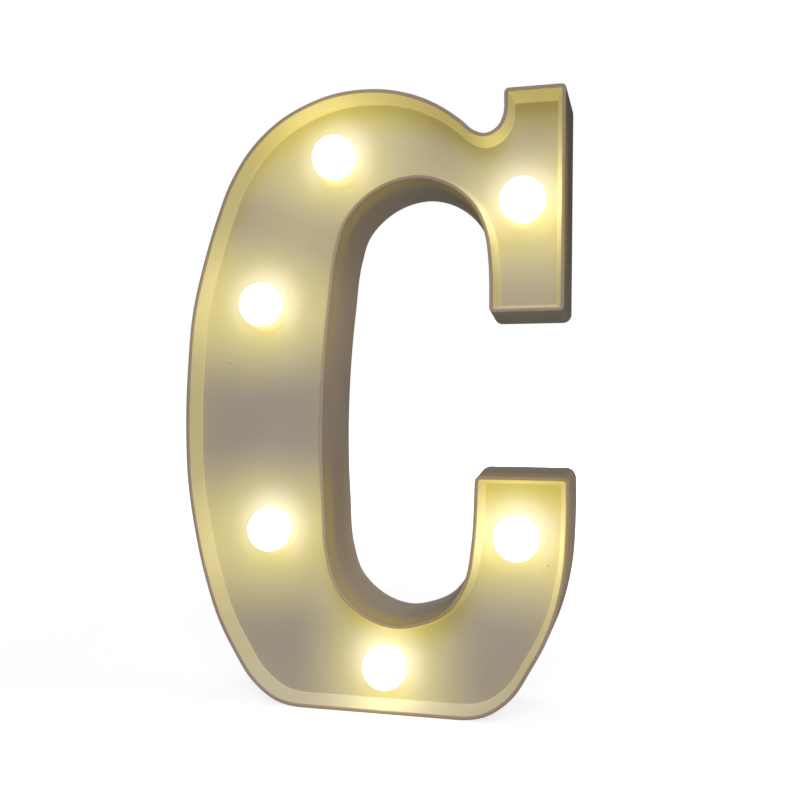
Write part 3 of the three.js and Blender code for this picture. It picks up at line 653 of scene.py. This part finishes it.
shell = make("front_shell_moulding", shell_form, (sunk_floor, sunk_wall, outside), patches + [0, 2])
carve(shell, "UNION", [
    *(lathe([(boss_radius, floor_back - weld), (boss_radius, ledge_depth)], spot) for spot in screw_spots),
    *(tube_ring(collar_radius, collar_bore, floor_back - weld, collar_back, spot) for spot in lamp_spots),
], patch=2)
neck_hole = [(neck_hole_radius, recess_depth - overrun), (neck_hole_radius, floor_back + overrun)]
pilot_hole = [(pilot_radius, pilot_front), (pilot_radius, ledge_depth + overrun)]
carve(shell, "DIFFERENCE", [
    *(lathe(neck_hole, spot) for spot in lamp_spots),
    *(lathe(pilot_hole, spot, 24) for spot in screw_spots),
], patch=2)
fit(shell, "case", "shell_white", "front_shell")


# The globes are blow-moulded frosted balls with a neck that snaps into the shell's floor. Lit, they are
# brighter than anything else in the picture, and only their feet show the warm colour of the lamps.
globe_radius = 7.9
globe_wall = 1
globe_centre = 3.4
neck_radius = 5.2
globe_light = (1, 0.95, 0.55, 1)
globe_foot_light = (1, 0.93, 0.45, 1)
globe_level = 4.4
foot_depths = scene_depths(1.75, 7.75)
frosted = Finish("frosted globe", roughness=0.5, specular_ior_level=0.3, emission_strength=globe_level)
frosted_grain = noise(frosted, 2600, 2)
toward_foot = frosted.axis(frosted.place(), "Y").fade(*foot_depths)
clouded(
    frosted, frosted_grain, paint(250, 246, 232), paint(240, 234, 214), (0.44, 0.56),
    emission_color=frosted.mixed(toward_foot, globe_light, globe_foot_light),
    normal=bump(frosted, frosted_grain, 0.05, 0.0002),
)


def ball(radius, centre, start, end, steps):
    angles = (start + (end - start) * k / steps for k in range(steps + 1))
    return [(radius * math.cos(angle), centre - radius * math.sin(angle)) for angle in angles]


hollow_radius = globe_radius - globe_wall
hollow_neck = neck_radius - globe_wall
globe_foot = -math.asin((recess_depth - globe_centre) / globe_radius)
hollow_foot = -math.acos(hollow_neck / hollow_radius)
globe_profile = [(0, globe_centre - globe_radius)]
globe_profile += ball(globe_radius, globe_centre, math.pi / 2, globe_foot, 30)[1:]
globe_profile += [(neck_radius, recess_depth), (neck_radius, 9.9), (5.6, 9.95), (5.75, 10.15), (5.3, 11)]
globe_profile += [(5.1, 11.1), (hollow_neck, 11.1)]
globe_profile += ball(hollow_radius, globe_centre, hollow_foot, math.pi / 2, 20)[:-1]
globe_profile += [(0, globe_centre - hollow_radius)]
for i, spot in enumerate(lamp_spots, 1):
    globe = lathe(globe_profile, spot, 64)
    fit(make(f"frosted_globe_{i}", globe, (frosted,)), "case", "frosted_globe", f"globe_cap_{i}")


# Behind each globe a 5 mm LED in warm clear resin stands on its board. Its lens is round, and its foot has
# a flange.
board_front = collar_back
led_radius = 2.5
led_shoulder = 8.5
flange_radius = 2.9
flange_front = board_front - 1
led_profile = [(0, led_shoulder - led_radius)]
led_profile += ball(led_radius, led_shoulder, math.pi / 2, 0, 10)[1:] + [(led_radius, flange_front)]
led_profile += rounded((2.8, flange_front), (flange_radius, flange_front), (flange_radius, 13.7), 3)
led_profile += [(flange_radius, board_front)]
lens = Finish("warm clear resin", roughness=0.12, transmission_weight=0.35, ior=1.53, emission_strength=1.5)
lens_cloud = noise(lens, 700, 3)
lens.set(
    base_color=lens.mixed(lens_cloud, paint(255, 240, 196), paint(246, 222, 160)),
    emission_color=lens.mixed(lens_cloud, (1, 0.86, 0.5, 1), (0.9, 0.7, 0.3, 1)),
)
for i, spot in enumerate(lamp_spots, 1):
    fit(make(f"led_lens_{i}", lathe(led_profile, spot, 32), (lens,)), "case", "led_lens", f"led_{i}")


# Each LED board is a punched disc of green laminate that closes its collar. The LED's two legs come through
# it and end in small cones of solder.
board_back = board_front + 1
board_radius = 7.8
board_edge = 0.1
leg_aside = 1.27
leg_up = 0.2
green = Finish("green board", roughness=0.42, specular_ior_level=0.5)
copper = noise(green, 160, 0)
lacquer = green.mixed(copper.fade(0.48, 0.52), paint(36, 92, 58), paint(52, 122, 74))
green.set(
    base_color=green.mixed(noise(green, 1400, 2) * 0.25, lacquer, paint(92, 132, 84)),
    normal=bump(green, copper, 0.1),
)
solder = Finish("solder", metallic=1)
clouded(solder, noise(solder, 1800, 2), paint(214, 214, 210), paint(176, 178, 178), (0.2, 0.4))


def solder_cone(foot, radius=0.95, height=0.65):
    """A cone of solder with a hollow flank on a board's back"""
    top = board_back + height
    hollow = (radius * 0.45, board_back + height * 0.25)
    flank = rounded((radius, board_back), hollow, (0.4, top), 4)
    return lathe([(radius, board_back - 0.05), *flank, (0.25, top + 0.1), (0, top + 0.12)], foot, 16)


disc_profile = [
    (board_radius - board_edge, board_front), (board_radius, board_front + board_edge),
    (board_radius, board_back - board_edge), (board_radius - board_edge, board_back),
]
for i, spot in enumerate(lamp_spots, 1):
    disc = lathe(disc_profile, spot, 64)
    legs = together([solder_cone((spot[0] + side * leg_aside, spot[1] + side * leg_up)) for side in (-1, 1)])
    patches = [0] * len(disc[1]) + [1] * len(legs[1])
    board = make(f"led_board_disc_{i}", together([disc, legs]), (green, solder), patches)
    fit(board, "case", "board_green", f"led_board_{i}")


# Thin stranded wires in red and black sleeves run side by side from board to board, round the battery bay
# and behind the floor. Three more join the cells, the switch and the third board. Every end is soldered.
wire_radius = 0.65
pad_aside = 1.6
pad_along = 2.6
supply_pad = 4.6
lift = 2
lane_depth = board_back + 4
touch = board_back + 0.2
bay_left, bay_bottom, bay_right, bay_top = 5.709, 73.142, 35.909, 130.842
bay_wall = 1.5
beside_bay = 44.398
cell_xs = (13.309, 28.309)
cell_depth = 18.75
tail_depth = 13.25
tail_top = bay_top + 3.2
slide_x, slide_z = 44.919, 172.04
slide_middle = slide_x + 1.5
pin_tip = 18
pin_aside = 3
pin_bead = 0.8
vias = [
    [at(share) for share in ((0.81, 0.86), (0.7, 0.9), (0.56, 0.918))],
    [at(share) for share in ((0.29, 0.85), (0.205, 0.77))],
    [Vector((beside_bay + x, bay_top + z)) for x, z in ((-3, 8), (0, -3))]
    + [Vector((beside_bay + x, bay_bottom + z)) for x, z in ((0, 6), (-1.5, -2), (-5, -6.5))],
    [at(share) for share in ((0.27, 0.19), (0.38, 0.095))],
    [at(share) for share in ((0.68, 0.085), (0.81, 0.15))],
]


def sleeve(name, slot, light, dark):
    finish = Finish(name, specular_ior_level=0.4)
    finish.slot = slot
    moulded(finish, light, dark, drift=120, grain=2400, roughness=(0.4, 0.5))
    return finish


def smooth_run(points, steps=10):
    """A smooth line through the points, tighter where they lie close together"""
    points = [Vector(point) for point in points]
    points = [points[0] * 2 - points[1], *points, points[-1] * 2 - points[-2]]
    run = []
    for a, b, c, d in zip(points, points[1:], points[2:], points[3:]):
        before, span, after = ((q - p).length ** 0.5 for p, q in ((a, b), (b, c), (c, d)))
        leave = ((b - a) / before - (c - a) / (before + span) + (c - b) / span) * span
        arrive = ((c - b) / span - (d - b) / (span + after) + (d - c) / after) * span
        bend = (c - b) * 3 - leave * 2 - arrive
        twist = (b - c) * 2 + leave + arrive
        run += [b + leave * t + bend * t * t + twist * t ** 3 for t in (k / steps for k in range(steps))]
    return run + [points[-2]]


def tube(run, radius, sides=12):
    """A round tube along a run of points, closed at both ends"""
    verts, faces = [], []
    ahead = (run[1] - run[0]).normalized()
    side = ahead.orthogonal().normalized()
    for k, point in enumerate(run):
        turned_to = (run[min(k + 1, len(run) - 1)] - run[max(k - 1, 0)]).normalized()
        side = ahead.rotation_difference(turned_to) @ side
        ahead = turned_to
        other = ahead.cross(side)
        for i in range(sides):
            angle = 2 * math.pi * i / sides
            verts.append(tuple(point + (side * math.cos(angle) + other * math.sin(angle)) * radius))
    for k in range(len(run) - 1):
        for i in range(sides):
            a, b = k * sides + i, k * sides + (i + 1) % sides
            faces.append((a, b, b + sides, a + sides))
    last = (len(run) - 1) * sides
    return verts, faces + [tuple(range(sides)), tuple(range(last, last + sides))]


def solder_bead(centre, radius=0.95, steps=8):
    """A bead of solder round a pin or a tail"""
    x, y, z = centre
    angles = [math.pi * k / steps for k in range(1, steps)]
    flank = [(radius * math.sin(angle), y - radius * math.cos(angle)) for angle in angles]
    return lathe([(0, y - radius), *flank, (0, y + radius)], (x, z), 16)


def wire(node, finish, points, ends):
    run = tube(smooth_run(points), wire_radius)
    joints = together(ends)
    patches = [0] * len(run[1]) + [1] * len(joints[1])
    piece = make("sleeved_" + node, together([run, joints]), (finish, solder), patches)
    fit(piece, "case", finish.slot, node)


def deep(spot, y):
    return (spot[0], y, spot[1])


red = sleeve("red sleeve", "wire_red", paint(178, 34, 30), paint(150, 26, 24))
black = sleeve("black sleeve", "wire_black", paint(34, 34, 36), paint(22, 22, 24))
stops = []
for spot, between in zip(lamp_spots, [*vias, []]):
    stops.append((Vector(spot), True))
    stops += [(via, False) for via in between]
route = []
for k, (spot, is_lamp) in enumerate(stops):
    along = (stops[min(k + 1, len(stops) - 1)][0] - stops[max(k - 1, 0)][0]).normalized()
    route.append((spot, is_lamp, along, Vector((-along.y, along.x))))
board_stops = [k for k, stop in enumerate(route) if stop[1]]
for i, (first, last) in enumerate(zip(board_stops, board_stops[1:]), 1):
    for name, finish, side in (("wire_red", red, -1), ("wire_black", black, 1)):
        lane = [spot + aside * side * pad_aside for spot, _, _, aside in route[first:last + 1]]
        start = lane[0] + route[first][2] * pad_along
        end = lane[-1] - route[last][2] * pad_along
        points = [deep(start, touch), deep(start, touch + lift)]
        points += [deep(spot, lane_depth) for spot in lane[1:-1]]
        points += [deep(end, touch + lift), deep(end, touch)]
        wire(f"{name}_{i}", finish, points, [solder_cone(start), solder_cone(end)])

third = Vector(lamp_spots[2])
left_pad, right_pad = third - Vector((supply_pad, 0)), third + Vector((supply_pad, 0))
tails = [(x, tail_depth + 0.2, tail_top) for x in cell_xs]
above = [(x, y, z + 2 * wire_radius) for x, y, z in tails]
left_pin, right_pin = ((slide_middle + side * pin_aside, pin_tip - 0.2, slide_z) for side in (-1, 1))
wire("wire_plus", red, [
    tails[0], above[0],
    (cell_xs[0], touch + lift, third.y), deep(left_pad, touch + lift), deep(left_pad, touch),
], [solder_cone(left_pad), solder_bead(tails[0])])
wire("wire_minus", black, [
    tails[1], above[1],
    (third.x + 6.7, tail_depth, third.y - 8.5), (third.x + 13.7, tail_depth, third.y - 2.2),
    (slide_x + 3.2, tail_depth, slide_z - 15.8), (right_pin[0], right_pin[1] - lift, slide_z), right_pin,
], [solder_bead(tails[1]), solder_bead(right_pin, pin_bead)])
wire("wire_switched", black, [
    deep(right_pad, touch), deep(right_pad, touch + lift), (slide_x - 4.2, board_back + lift, slide_z - 13.6),
    (left_pin[0], left_pin[1] - lift, slide_z), left_pin,
], [solder_cone(right_pad), solder_bead(left_pin, pin_bead)])


# The back cover is a flat moulding that drops onto the step inside the shell's back edge. It carries the
# battery tub, the lid's sunk seat, the switch window, two keyholes for wall screws and the screws' holes.
cover_inner = 26
cover_outer = 27.8
cover_room = 1.4
cover_edge = 0.22
seat_depth = 26
ledge = 0.9
bay_corner = 1.5
tub_front = 10
tub_floor = 11.2
tub_signs = ((18.4, 126.5, True), (23.2, 126.5, False), (18.4, 77.5, False), (23.2, 77.5, True))
window_half = 3.3
window_heights = (slide_z - 1.7, slide_z + 1.7)
screw_hole_radius = 1.4
counterbore_radius = 2.6
head_seat = 26.8
keyhole_head = 4.4
keyhole_shank = 2.3
keyhole_rise = 7.5
keyhole_spots = [at((share, 0.886)) for share in (0.264, 0.652)]
hook_spans = [(6.109, 8.509), (33.109, 35.509)]
hook_room = 0.3
hook_slot_front = 23.398
tail_half = 1.3
cover = Finish("matt ivory cover", specular_ior_level=0.25)
cover_light, cover_dark = paint(186, 178, 165), paint(178, 169, 155)
moulded(cover, cover_light, cover_dark, drift=18, grain=1300, relief=0.12, roughness=(0.55, 0.68))


def block(low, high):
    corners = [(x, y, z) for x in (low[0], high[0]) for y in (low[1], high[1]) for z in (low[2], high[2])]
    return corners, [(0, 1, 3, 2), (4, 5, 7, 6), (0, 1, 5, 4), (2, 3, 7, 6), (0, 2, 6, 4), (1, 3, 7, 5)]


def bar(x, half, low, high, front, back):
    """A block with its middle at x, between two heights and two depths"""
    return block((x - half, front, low), (x + half, back, high))


def slab(outline, front, back):
    """A flat shape between two depths"""
    return loft([(front, outline), (back, outline)])


def arc(x, z, radius, start, end, steps=8):
    angles = (math.radians(start + (end - start) * k / steps) for k in range(steps + 1))
    return [(x + radius * math.cos(angle), z + radius * math.sin(angle)) for angle in angles]


def rounded_plate(left, bottom, right, top, radius):
    near, far = left + radius, right - radius
    low, high = bottom + radius, top - radius
    centres = ((far, low), (far, high), (near, high), (near, low))
    return [point for k, (x, z) in enumerate(centres, -1) for point in arc(x, z, radius, 90 * k, 90 * k + 90)]


def keyhole(spot):
    x, z = spot
    join = math.degrees(math.asin(keyhole_shank / keyhole_head))
    head = arc(x, z, keyhole_head, 90 + join, 450 - join, 28)
    return head + arc(x, z + keyhole_rise, keyhole_shank, 0, 180, 12)


def sign(x, z, plus=True, arm=1.5, half=0.3):
    """A plus or a minus as a flat shape"""
    if not plus:
        return [(x - arm, z - half), (x + arm, z - half), (x + arm, z + half), (x - arm, z + half)]
    turns = ((1, 0), (0, 1), (-1, 0), (0, -1))
    tips = ((half, -half), (arm, -half), (arm, half))
    return [(x + a * u - b * v, z + b * u + a * v) for a, b in turns for u, v in tips]


def cover_ring(depth, inset=0):
    """The cover's edge at a depth, as it follows the flare of the shell's wall"""
    return outline_ring(wall_flare * depth / shell_depth - cover_room - inset, cover_room + inset)


cover_form = loft([
    (cover_inner, cover_ring(cover_inner)),
    (cover_outer - cover_edge, cover_ring(cover_outer - cover_edge)),
    (cover_outer - cover_edge * 0.3, cover_ring(cover_outer, cover_edge * 0.3)),
    (cover_outer, cover_ring(cover_outer, cover_edge)),
])
back = make("back_cover_moulding", cover_form, (cover,))
carve(back, "UNION", [block(
    (bay_left - bay_wall, tub_front, bay_bottom - bay_wall),
    (bay_right + bay_wall, cover_inner + weld, bay_top + bay_wall),
)])
through_cover = (cover_inner - overrun, cover_outer + overrun)
screw_hole = [(screw_hole_radius, through_cover[0]), (screw_hole_radius, head_seat)]
screw_hole += [(counterbore_radius, head_seat), (counterbore_radius, through_cover[1])]
carve(back, "DIFFERENCE", [
    block((bay_left, tub_floor, bay_bottom), (bay_right, through_cover[1], bay_top)),
    bar(slide_middle, window_half, *window_heights, *through_cover),
    *(slab(keyhole(spot), *through_cover) for spot in keyhole_spots),
    *(lathe(screw_hole, spot, 32) for spot in screw_spots),
])
lid_seat = rounded_plate(bay_left - ledge, bay_bottom - ledge, bay_right + ledge, bay_top + ledge, bay_corner)
carve(back, "DIFFERENCE", [slab(lid_seat, seat_depth, through_cover[1])])


def wall_slot(left, right, front, back):
    """What is cut through the tub's upper wall for a hook or a tail"""
    return block((left, front, bay_top - overrun), (right, back, bay_top + bay_wall + overrun))


carve(back, "DIFFERENCE", [
    *(wall_slot(x0 - hook_room, x1 + hook_room, hook_slot_front, seat_depth) for x0, x1 in hook_spans),
    *(wall_slot(x - tail_half, x + tail_half, tail_depth - 0.3, tail_depth + 0.7) for x in cell_xs),
])
carve(back, "UNION", [slab(sign(*tub_sign), tub_floor - 0.2, tub_floor + 0.3) for tub_sign in tub_signs])


def edge_rounds(piece, width):
    """Adds small rounds to a piece's edges, width in millimetres"""
    step = piece.modifiers.new("rounded edges", "BEVEL")
    step.width = width / 1000
    step.segments = 2
    step.limit_method = "ANGLE"
    step.angle_limit = math.radians(40)


def soften(piece, width=0.12):
    edge_rounds(piece, width)
    settle(piece)


soften(back)
fit(back, "case", "cover_white", "back_cover")


# ON and OFF stand a little proud of the cover at the two ends of the switch window. They are moulded with it
# and stamped dark.
word_height = 3.2
lettering = Finish("dark grey lettering")
moulded(lettering, paint(82, 79, 75), paint(66, 63, 60))


def raised_word(name, word, x, z):
    """A word that reads from behind"""
    curve = bpy.data.curves.new(name, "FONT")
    curve.body = word
    curve.size = word_height / 1000
    curve.extrude = 0.0002
    curve.bevel_depth = 0.00004
    curve.align_x = "CENTER"
    drawn = put(name, curve)
    mesh = finished_mesh(drawn)
    bpy.data.objects.remove(drawn)
    facing_back = Matrix(((-1, 0, 0, 0), (0, 0, 1, 0), (0, 1, 0, 0), (0, 0, 0, 1)))
    mesh.transform(Matrix.Translation(in_frame((x, cover_outer + 0.05, z))) @ facing_back)
    mesh.materials.clear()
    mesh.materials.append(lettering.material)
    fit(put(name, mesh), "case", "cover_white")


raised_word("mark_on", "ON", slide_x - 5.2, slide_z - 1.2)
raised_word("mark_off", "OFF", slide_x + 8.5, slide_z - 1.2)


# The cells press against nickel-plated plates that stand in the tub's ends. Two have a tail through the tub's
# wall, one bridges both cells, and a cone spring of steel wire takes up the slack at each cell's flat end.
plate_thickness = 0.4
wide_curl, narrow_curl = 4.4, 2.2
spring_wire = 0.35
spring_seat = 0.45
cell_length = 50.5
cell_feet = (79.942, 73.542)
cells_up = (True, False)
nickel = Finish("nickel plate", metallic=1)
clouded(
    nickel, noise(nickel, 260, 4), paint(214, 208, 192), paint(190, 182, 164), (0.22, 0.36),
    normal=bump(nickel, noise(nickel, 3000, 2), 0.08),
)


def keep(node, finish, width=0.08):
    """A solid whose shape is right gets its finish and slightly rounded edges"""
    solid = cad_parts[node]
    solid.data.materials.clear()
    solid.data.materials.append(finish.material)
    edge_rounds(solid, width)


for node in ("contact_plus", "contact_minus", "contact_bridge"):
    keep(node, nickel)


def cone_spring(name, node, x, start, end, curls=4, steps=26):
    """Curls that narrow from the plate to the cell"""
    inset = math.copysign(spring_seat, end - start)
    run = []
    for k in range(curls * steps + 1):
        share = k / (curls * steps)
        angle = 2 * math.pi * curls * share
        radius = wide_curl + (narrow_curl - wide_curl) * share
        z = start + inset + (end - start - 2 * inset) * share
        run.append(Vector((x + radius * math.cos(angle), cell_depth + radius * math.sin(angle), z)))
    fit(make(name, tube(run, spring_wire, 10), (nickel,)), "case", "contact_nickel", node)


spring_feet = (bay_bottom + plate_thickness, bay_top - plate_thickness)
cone_spring("cone_spring_1", "contact_spring_1", cell_xs[0], spring_feet[0], cell_feet[0])
cone_spring("cone_spring_2", "contact_spring_2", cell_xs[1], spring_feet[1], cell_feet[1] + cell_length)


# The two cells are steel cans in a shrunk plastic jacket, blue with a grey band at the nub. The jacket is
# rolled over both ends and carries a plain plus and minus.
cell_sides = 48
mark_arm = 0.0016
mark_half = 0.00045
plus_height, minus_height = 44, 6.5
jacket = Finish("blue jacket", specular_ior_level=0.5)
band = Finish("grey jacket band", specular_ior_level=0.5)
can_steel = Finish("can steel", metallic=1)


def mark_mask(finish, plus):
    """1 inside the plus or minus marks that face the lid"""
    across, depth, along = (finish.axis(finish.place(), name) for name in "XYZ")
    total = 0
    for x, foot, up in zip(cell_xs, cell_feet, cells_up):
        z = foot + (plus_height if up == plus else minus_height)
        aside = abs(across - (x - origin.x) / 1000)
        above = abs(along - z / 1000)
        total = total + (aside < mark_arm) * (above < mark_half)
        if plus:
            total = total + (aside < mark_half) * (above < mark_arm)
    return total * (depth > scene_depths(cell_depth)[0])


for finish, light, dark, ink, plus in (
    (jacket, paint(52, 88, 140), paint(44, 76, 124), paint(238, 238, 238), False),
    (band, paint(168, 170, 174), paint(152, 154, 160), paint(40, 44, 52), True),
):
    body = moulded(finish, light, dark, drift=60, grain=2600, roughness=(0.26, 0.36))
    finish.set(base_color=finish.mixed(mark_mask(finish, plus), body, ink))
clouded(can_steel, noise(can_steel, 500, 3), paint(206, 206, 208), paint(180, 181, 184), (0.2, 0.34))
cell_profile = [
    (0, 0), (5.2, 0), (5.5, 0.3), (6.2, 0.3), (6.4, 0.1), (6.75, 0.06), (7.1, 0.3), (7.25, 0.8),
    (7.25, 37), (7.25, 48), (7.15, 48.7), (6.75, 49.15), (6.3, 49.2), (6.1, 48.95), (3, 48.95),
    (2.75, 49.2), (2.75, 50.2), (2.5, cell_length), (0, cell_length),
]
flat_end, jacket_rows, band_rows, nub_end = [2] * 4, [0] * 4, [1] * 4, [2] * 6
rows = flat_end + jacket_rows + band_rows + nub_end
for i, (x, foot, up) in enumerate(zip(cell_xs, cell_feet, cells_up), 1):
    heights = [(radius, foot + (z if up else cell_length - z)) for radius, z in cell_profile]
    form = lathe(heights, (x, cell_depth), cell_sides, upright=True)
    patches = [row for row in rows for _ in range(cell_sides)]
    cell = make(f"jacketed_cell_{i}", form, (jacket, band, can_steel), patches)
    fit(cell, "case", "cell_jacket", f"battery_cell_{i}")


# The lid is a flat plate. Its two hooks sit in slots of the tub's upper wall, and its lower end swings out. A
# tongue there, cut free by two slits, carries three grip ridges and an arrow that shows the way out.
lid_left, lid_bottom, lid_right, lid_top = 5.109, 72.542, 36.509, 131.442
lid_inner = 26.2
lid_middle = (lid_left + lid_right) / 2
hook_front, hook_back = 24.7, 25.7
hook_reach = 1.9
slit_aside, slit_half, slit_length = 6, 0.35, 9
ridge_half, ridge_pitch, ridge_height = 4.4, 1.6, 0.8
ridge_depths = (cover_outer - weld, cover_outer + 0.4)
arrow = ((-2.2, 15), (0, 12), (2.2, 15))
arrow_depths = (cover_outer - weld, cover_outer + 0.2)
lid_outline = rounded_plate(lid_left, lid_bottom, lid_right, lid_top, bay_corner)
lid = make("battery_lid_plate", slab(lid_outline, lid_inner, cover_outer), (cover,))


def hook_parts(back, low, high):
    return [block((x0, hook_front, low), (x1, back, high)) for x0, x1 in hook_spans]


carve(lid, "UNION", hook_parts(lid_inner + weld, bay_top - 1.5, bay_top - 0.3))
carve(lid, "UNION", hook_parts(hook_back, bay_top - 1.4, lid_top + hook_reach))
slit_heights = (lid_bottom - overrun, lid_bottom + slit_length)
carve(lid, "DIFFERENCE", [
    bar(x, slit_half, *slit_heights, lid_inner - overrun, through_cover[1])
    for x in (lid_middle - slit_aside, lid_middle + slit_aside)
])
ridge_feet = [lid_bottom + ridge_pitch * k for k in (1, 2, 3)]
carve(lid, "UNION", [
    *(bar(lid_middle, ridge_half, z, z + ridge_height, *ridge_depths) for z in ridge_feet),
    slab([(lid_middle + x, lid_bottom + z) for x, z in arrow], *arrow_depths),
])
soften(lid)
fit(lid, "lid", "cover_white", "battery_lid")


# The slide switch is a small black moulding behind the cover's window, with three plated pins to solder to.
# Its knob has three ribs for a fingertip and slides along the window.
knob_half = 1.5
knob_heights = (slide_z - 1.4, slide_z + 1.4)
knob_depths = (22.5, 28.35)
rib_half = 0.32
rib_pitch = 1.1
rib_depths = (28, 28.8)
switch_plastic = Finish("black switch plastic", specular_ior_level=0.25)
switch_light, switch_dark = paint(40, 40, 42), paint(28, 28, 30)
moulded(switch_plastic, switch_light, switch_dark, drift=200, grain=2600, relief=0.05, roughness=(0.38, 0.5))
keep("switch_body", switch_plastic, 0.15)
for i in (1, 2, 3):
    keep(f"switch_pin_{i}", nickel, 0.05)
knob = make("switch_knob_ribbed", bar(slide_x, knob_half, *knob_heights, *knob_depths), (switch_plastic,))
rib_xs = (slide_x - rib_pitch, slide_x, slide_x + rib_pitch)
carve(knob, "UNION", [bar(x, rib_half, *knob_heights, *rib_depths) for x in rib_xs])
soften(knob)
fit(knob, "knob", "switch_black", "switch_knob")


# Seven self-tapping steel screws hold the cover to the shell's bosses. Their pan heads have a cross recess
# and lie in the cover's counterbores.
thread_pitch = 0.8
steel = Finish("screw steel", metallic=1)
pits = steel.node("ShaderNodeTexVoronoi", sockets={"Vector": steel.place(), "Scale": 2600})
clouded(
    steel, noise(steel, 420, 4), paint(196, 198, 202), paint(160, 162, 168), (0.28, 0.42),
    normal=bump(steel, pits, 0.06),
)
crest_and_root = [(1.2, 18.5), (0.98, 18.9)]
thread = [(radius, depth + thread_pitch * k) for k in range(9) for radius, depth in crest_and_root]
screw_profile = [(0, 17.3), (0.35, 17.6), *thread, (1.1, 25.8), (1.1, head_seat), (2.2, head_seat)]
screw_profile += rounded((2.3, 26.9), (2.3, 28.2), (1, 28.2), 6) + [(0, 28.2)]
for i, spot in enumerate(screw_spots, 1):
    screw = make(f"pan_head_screw_{i}", lathe(screw_profile, spot, 32), (steel,))
    carve(screw, "DIFFERENCE", [slab(sign(*spot), 27.4, 28.6)])
    fit(screw, "case", "screw_steel", f"case_screw_{i}")
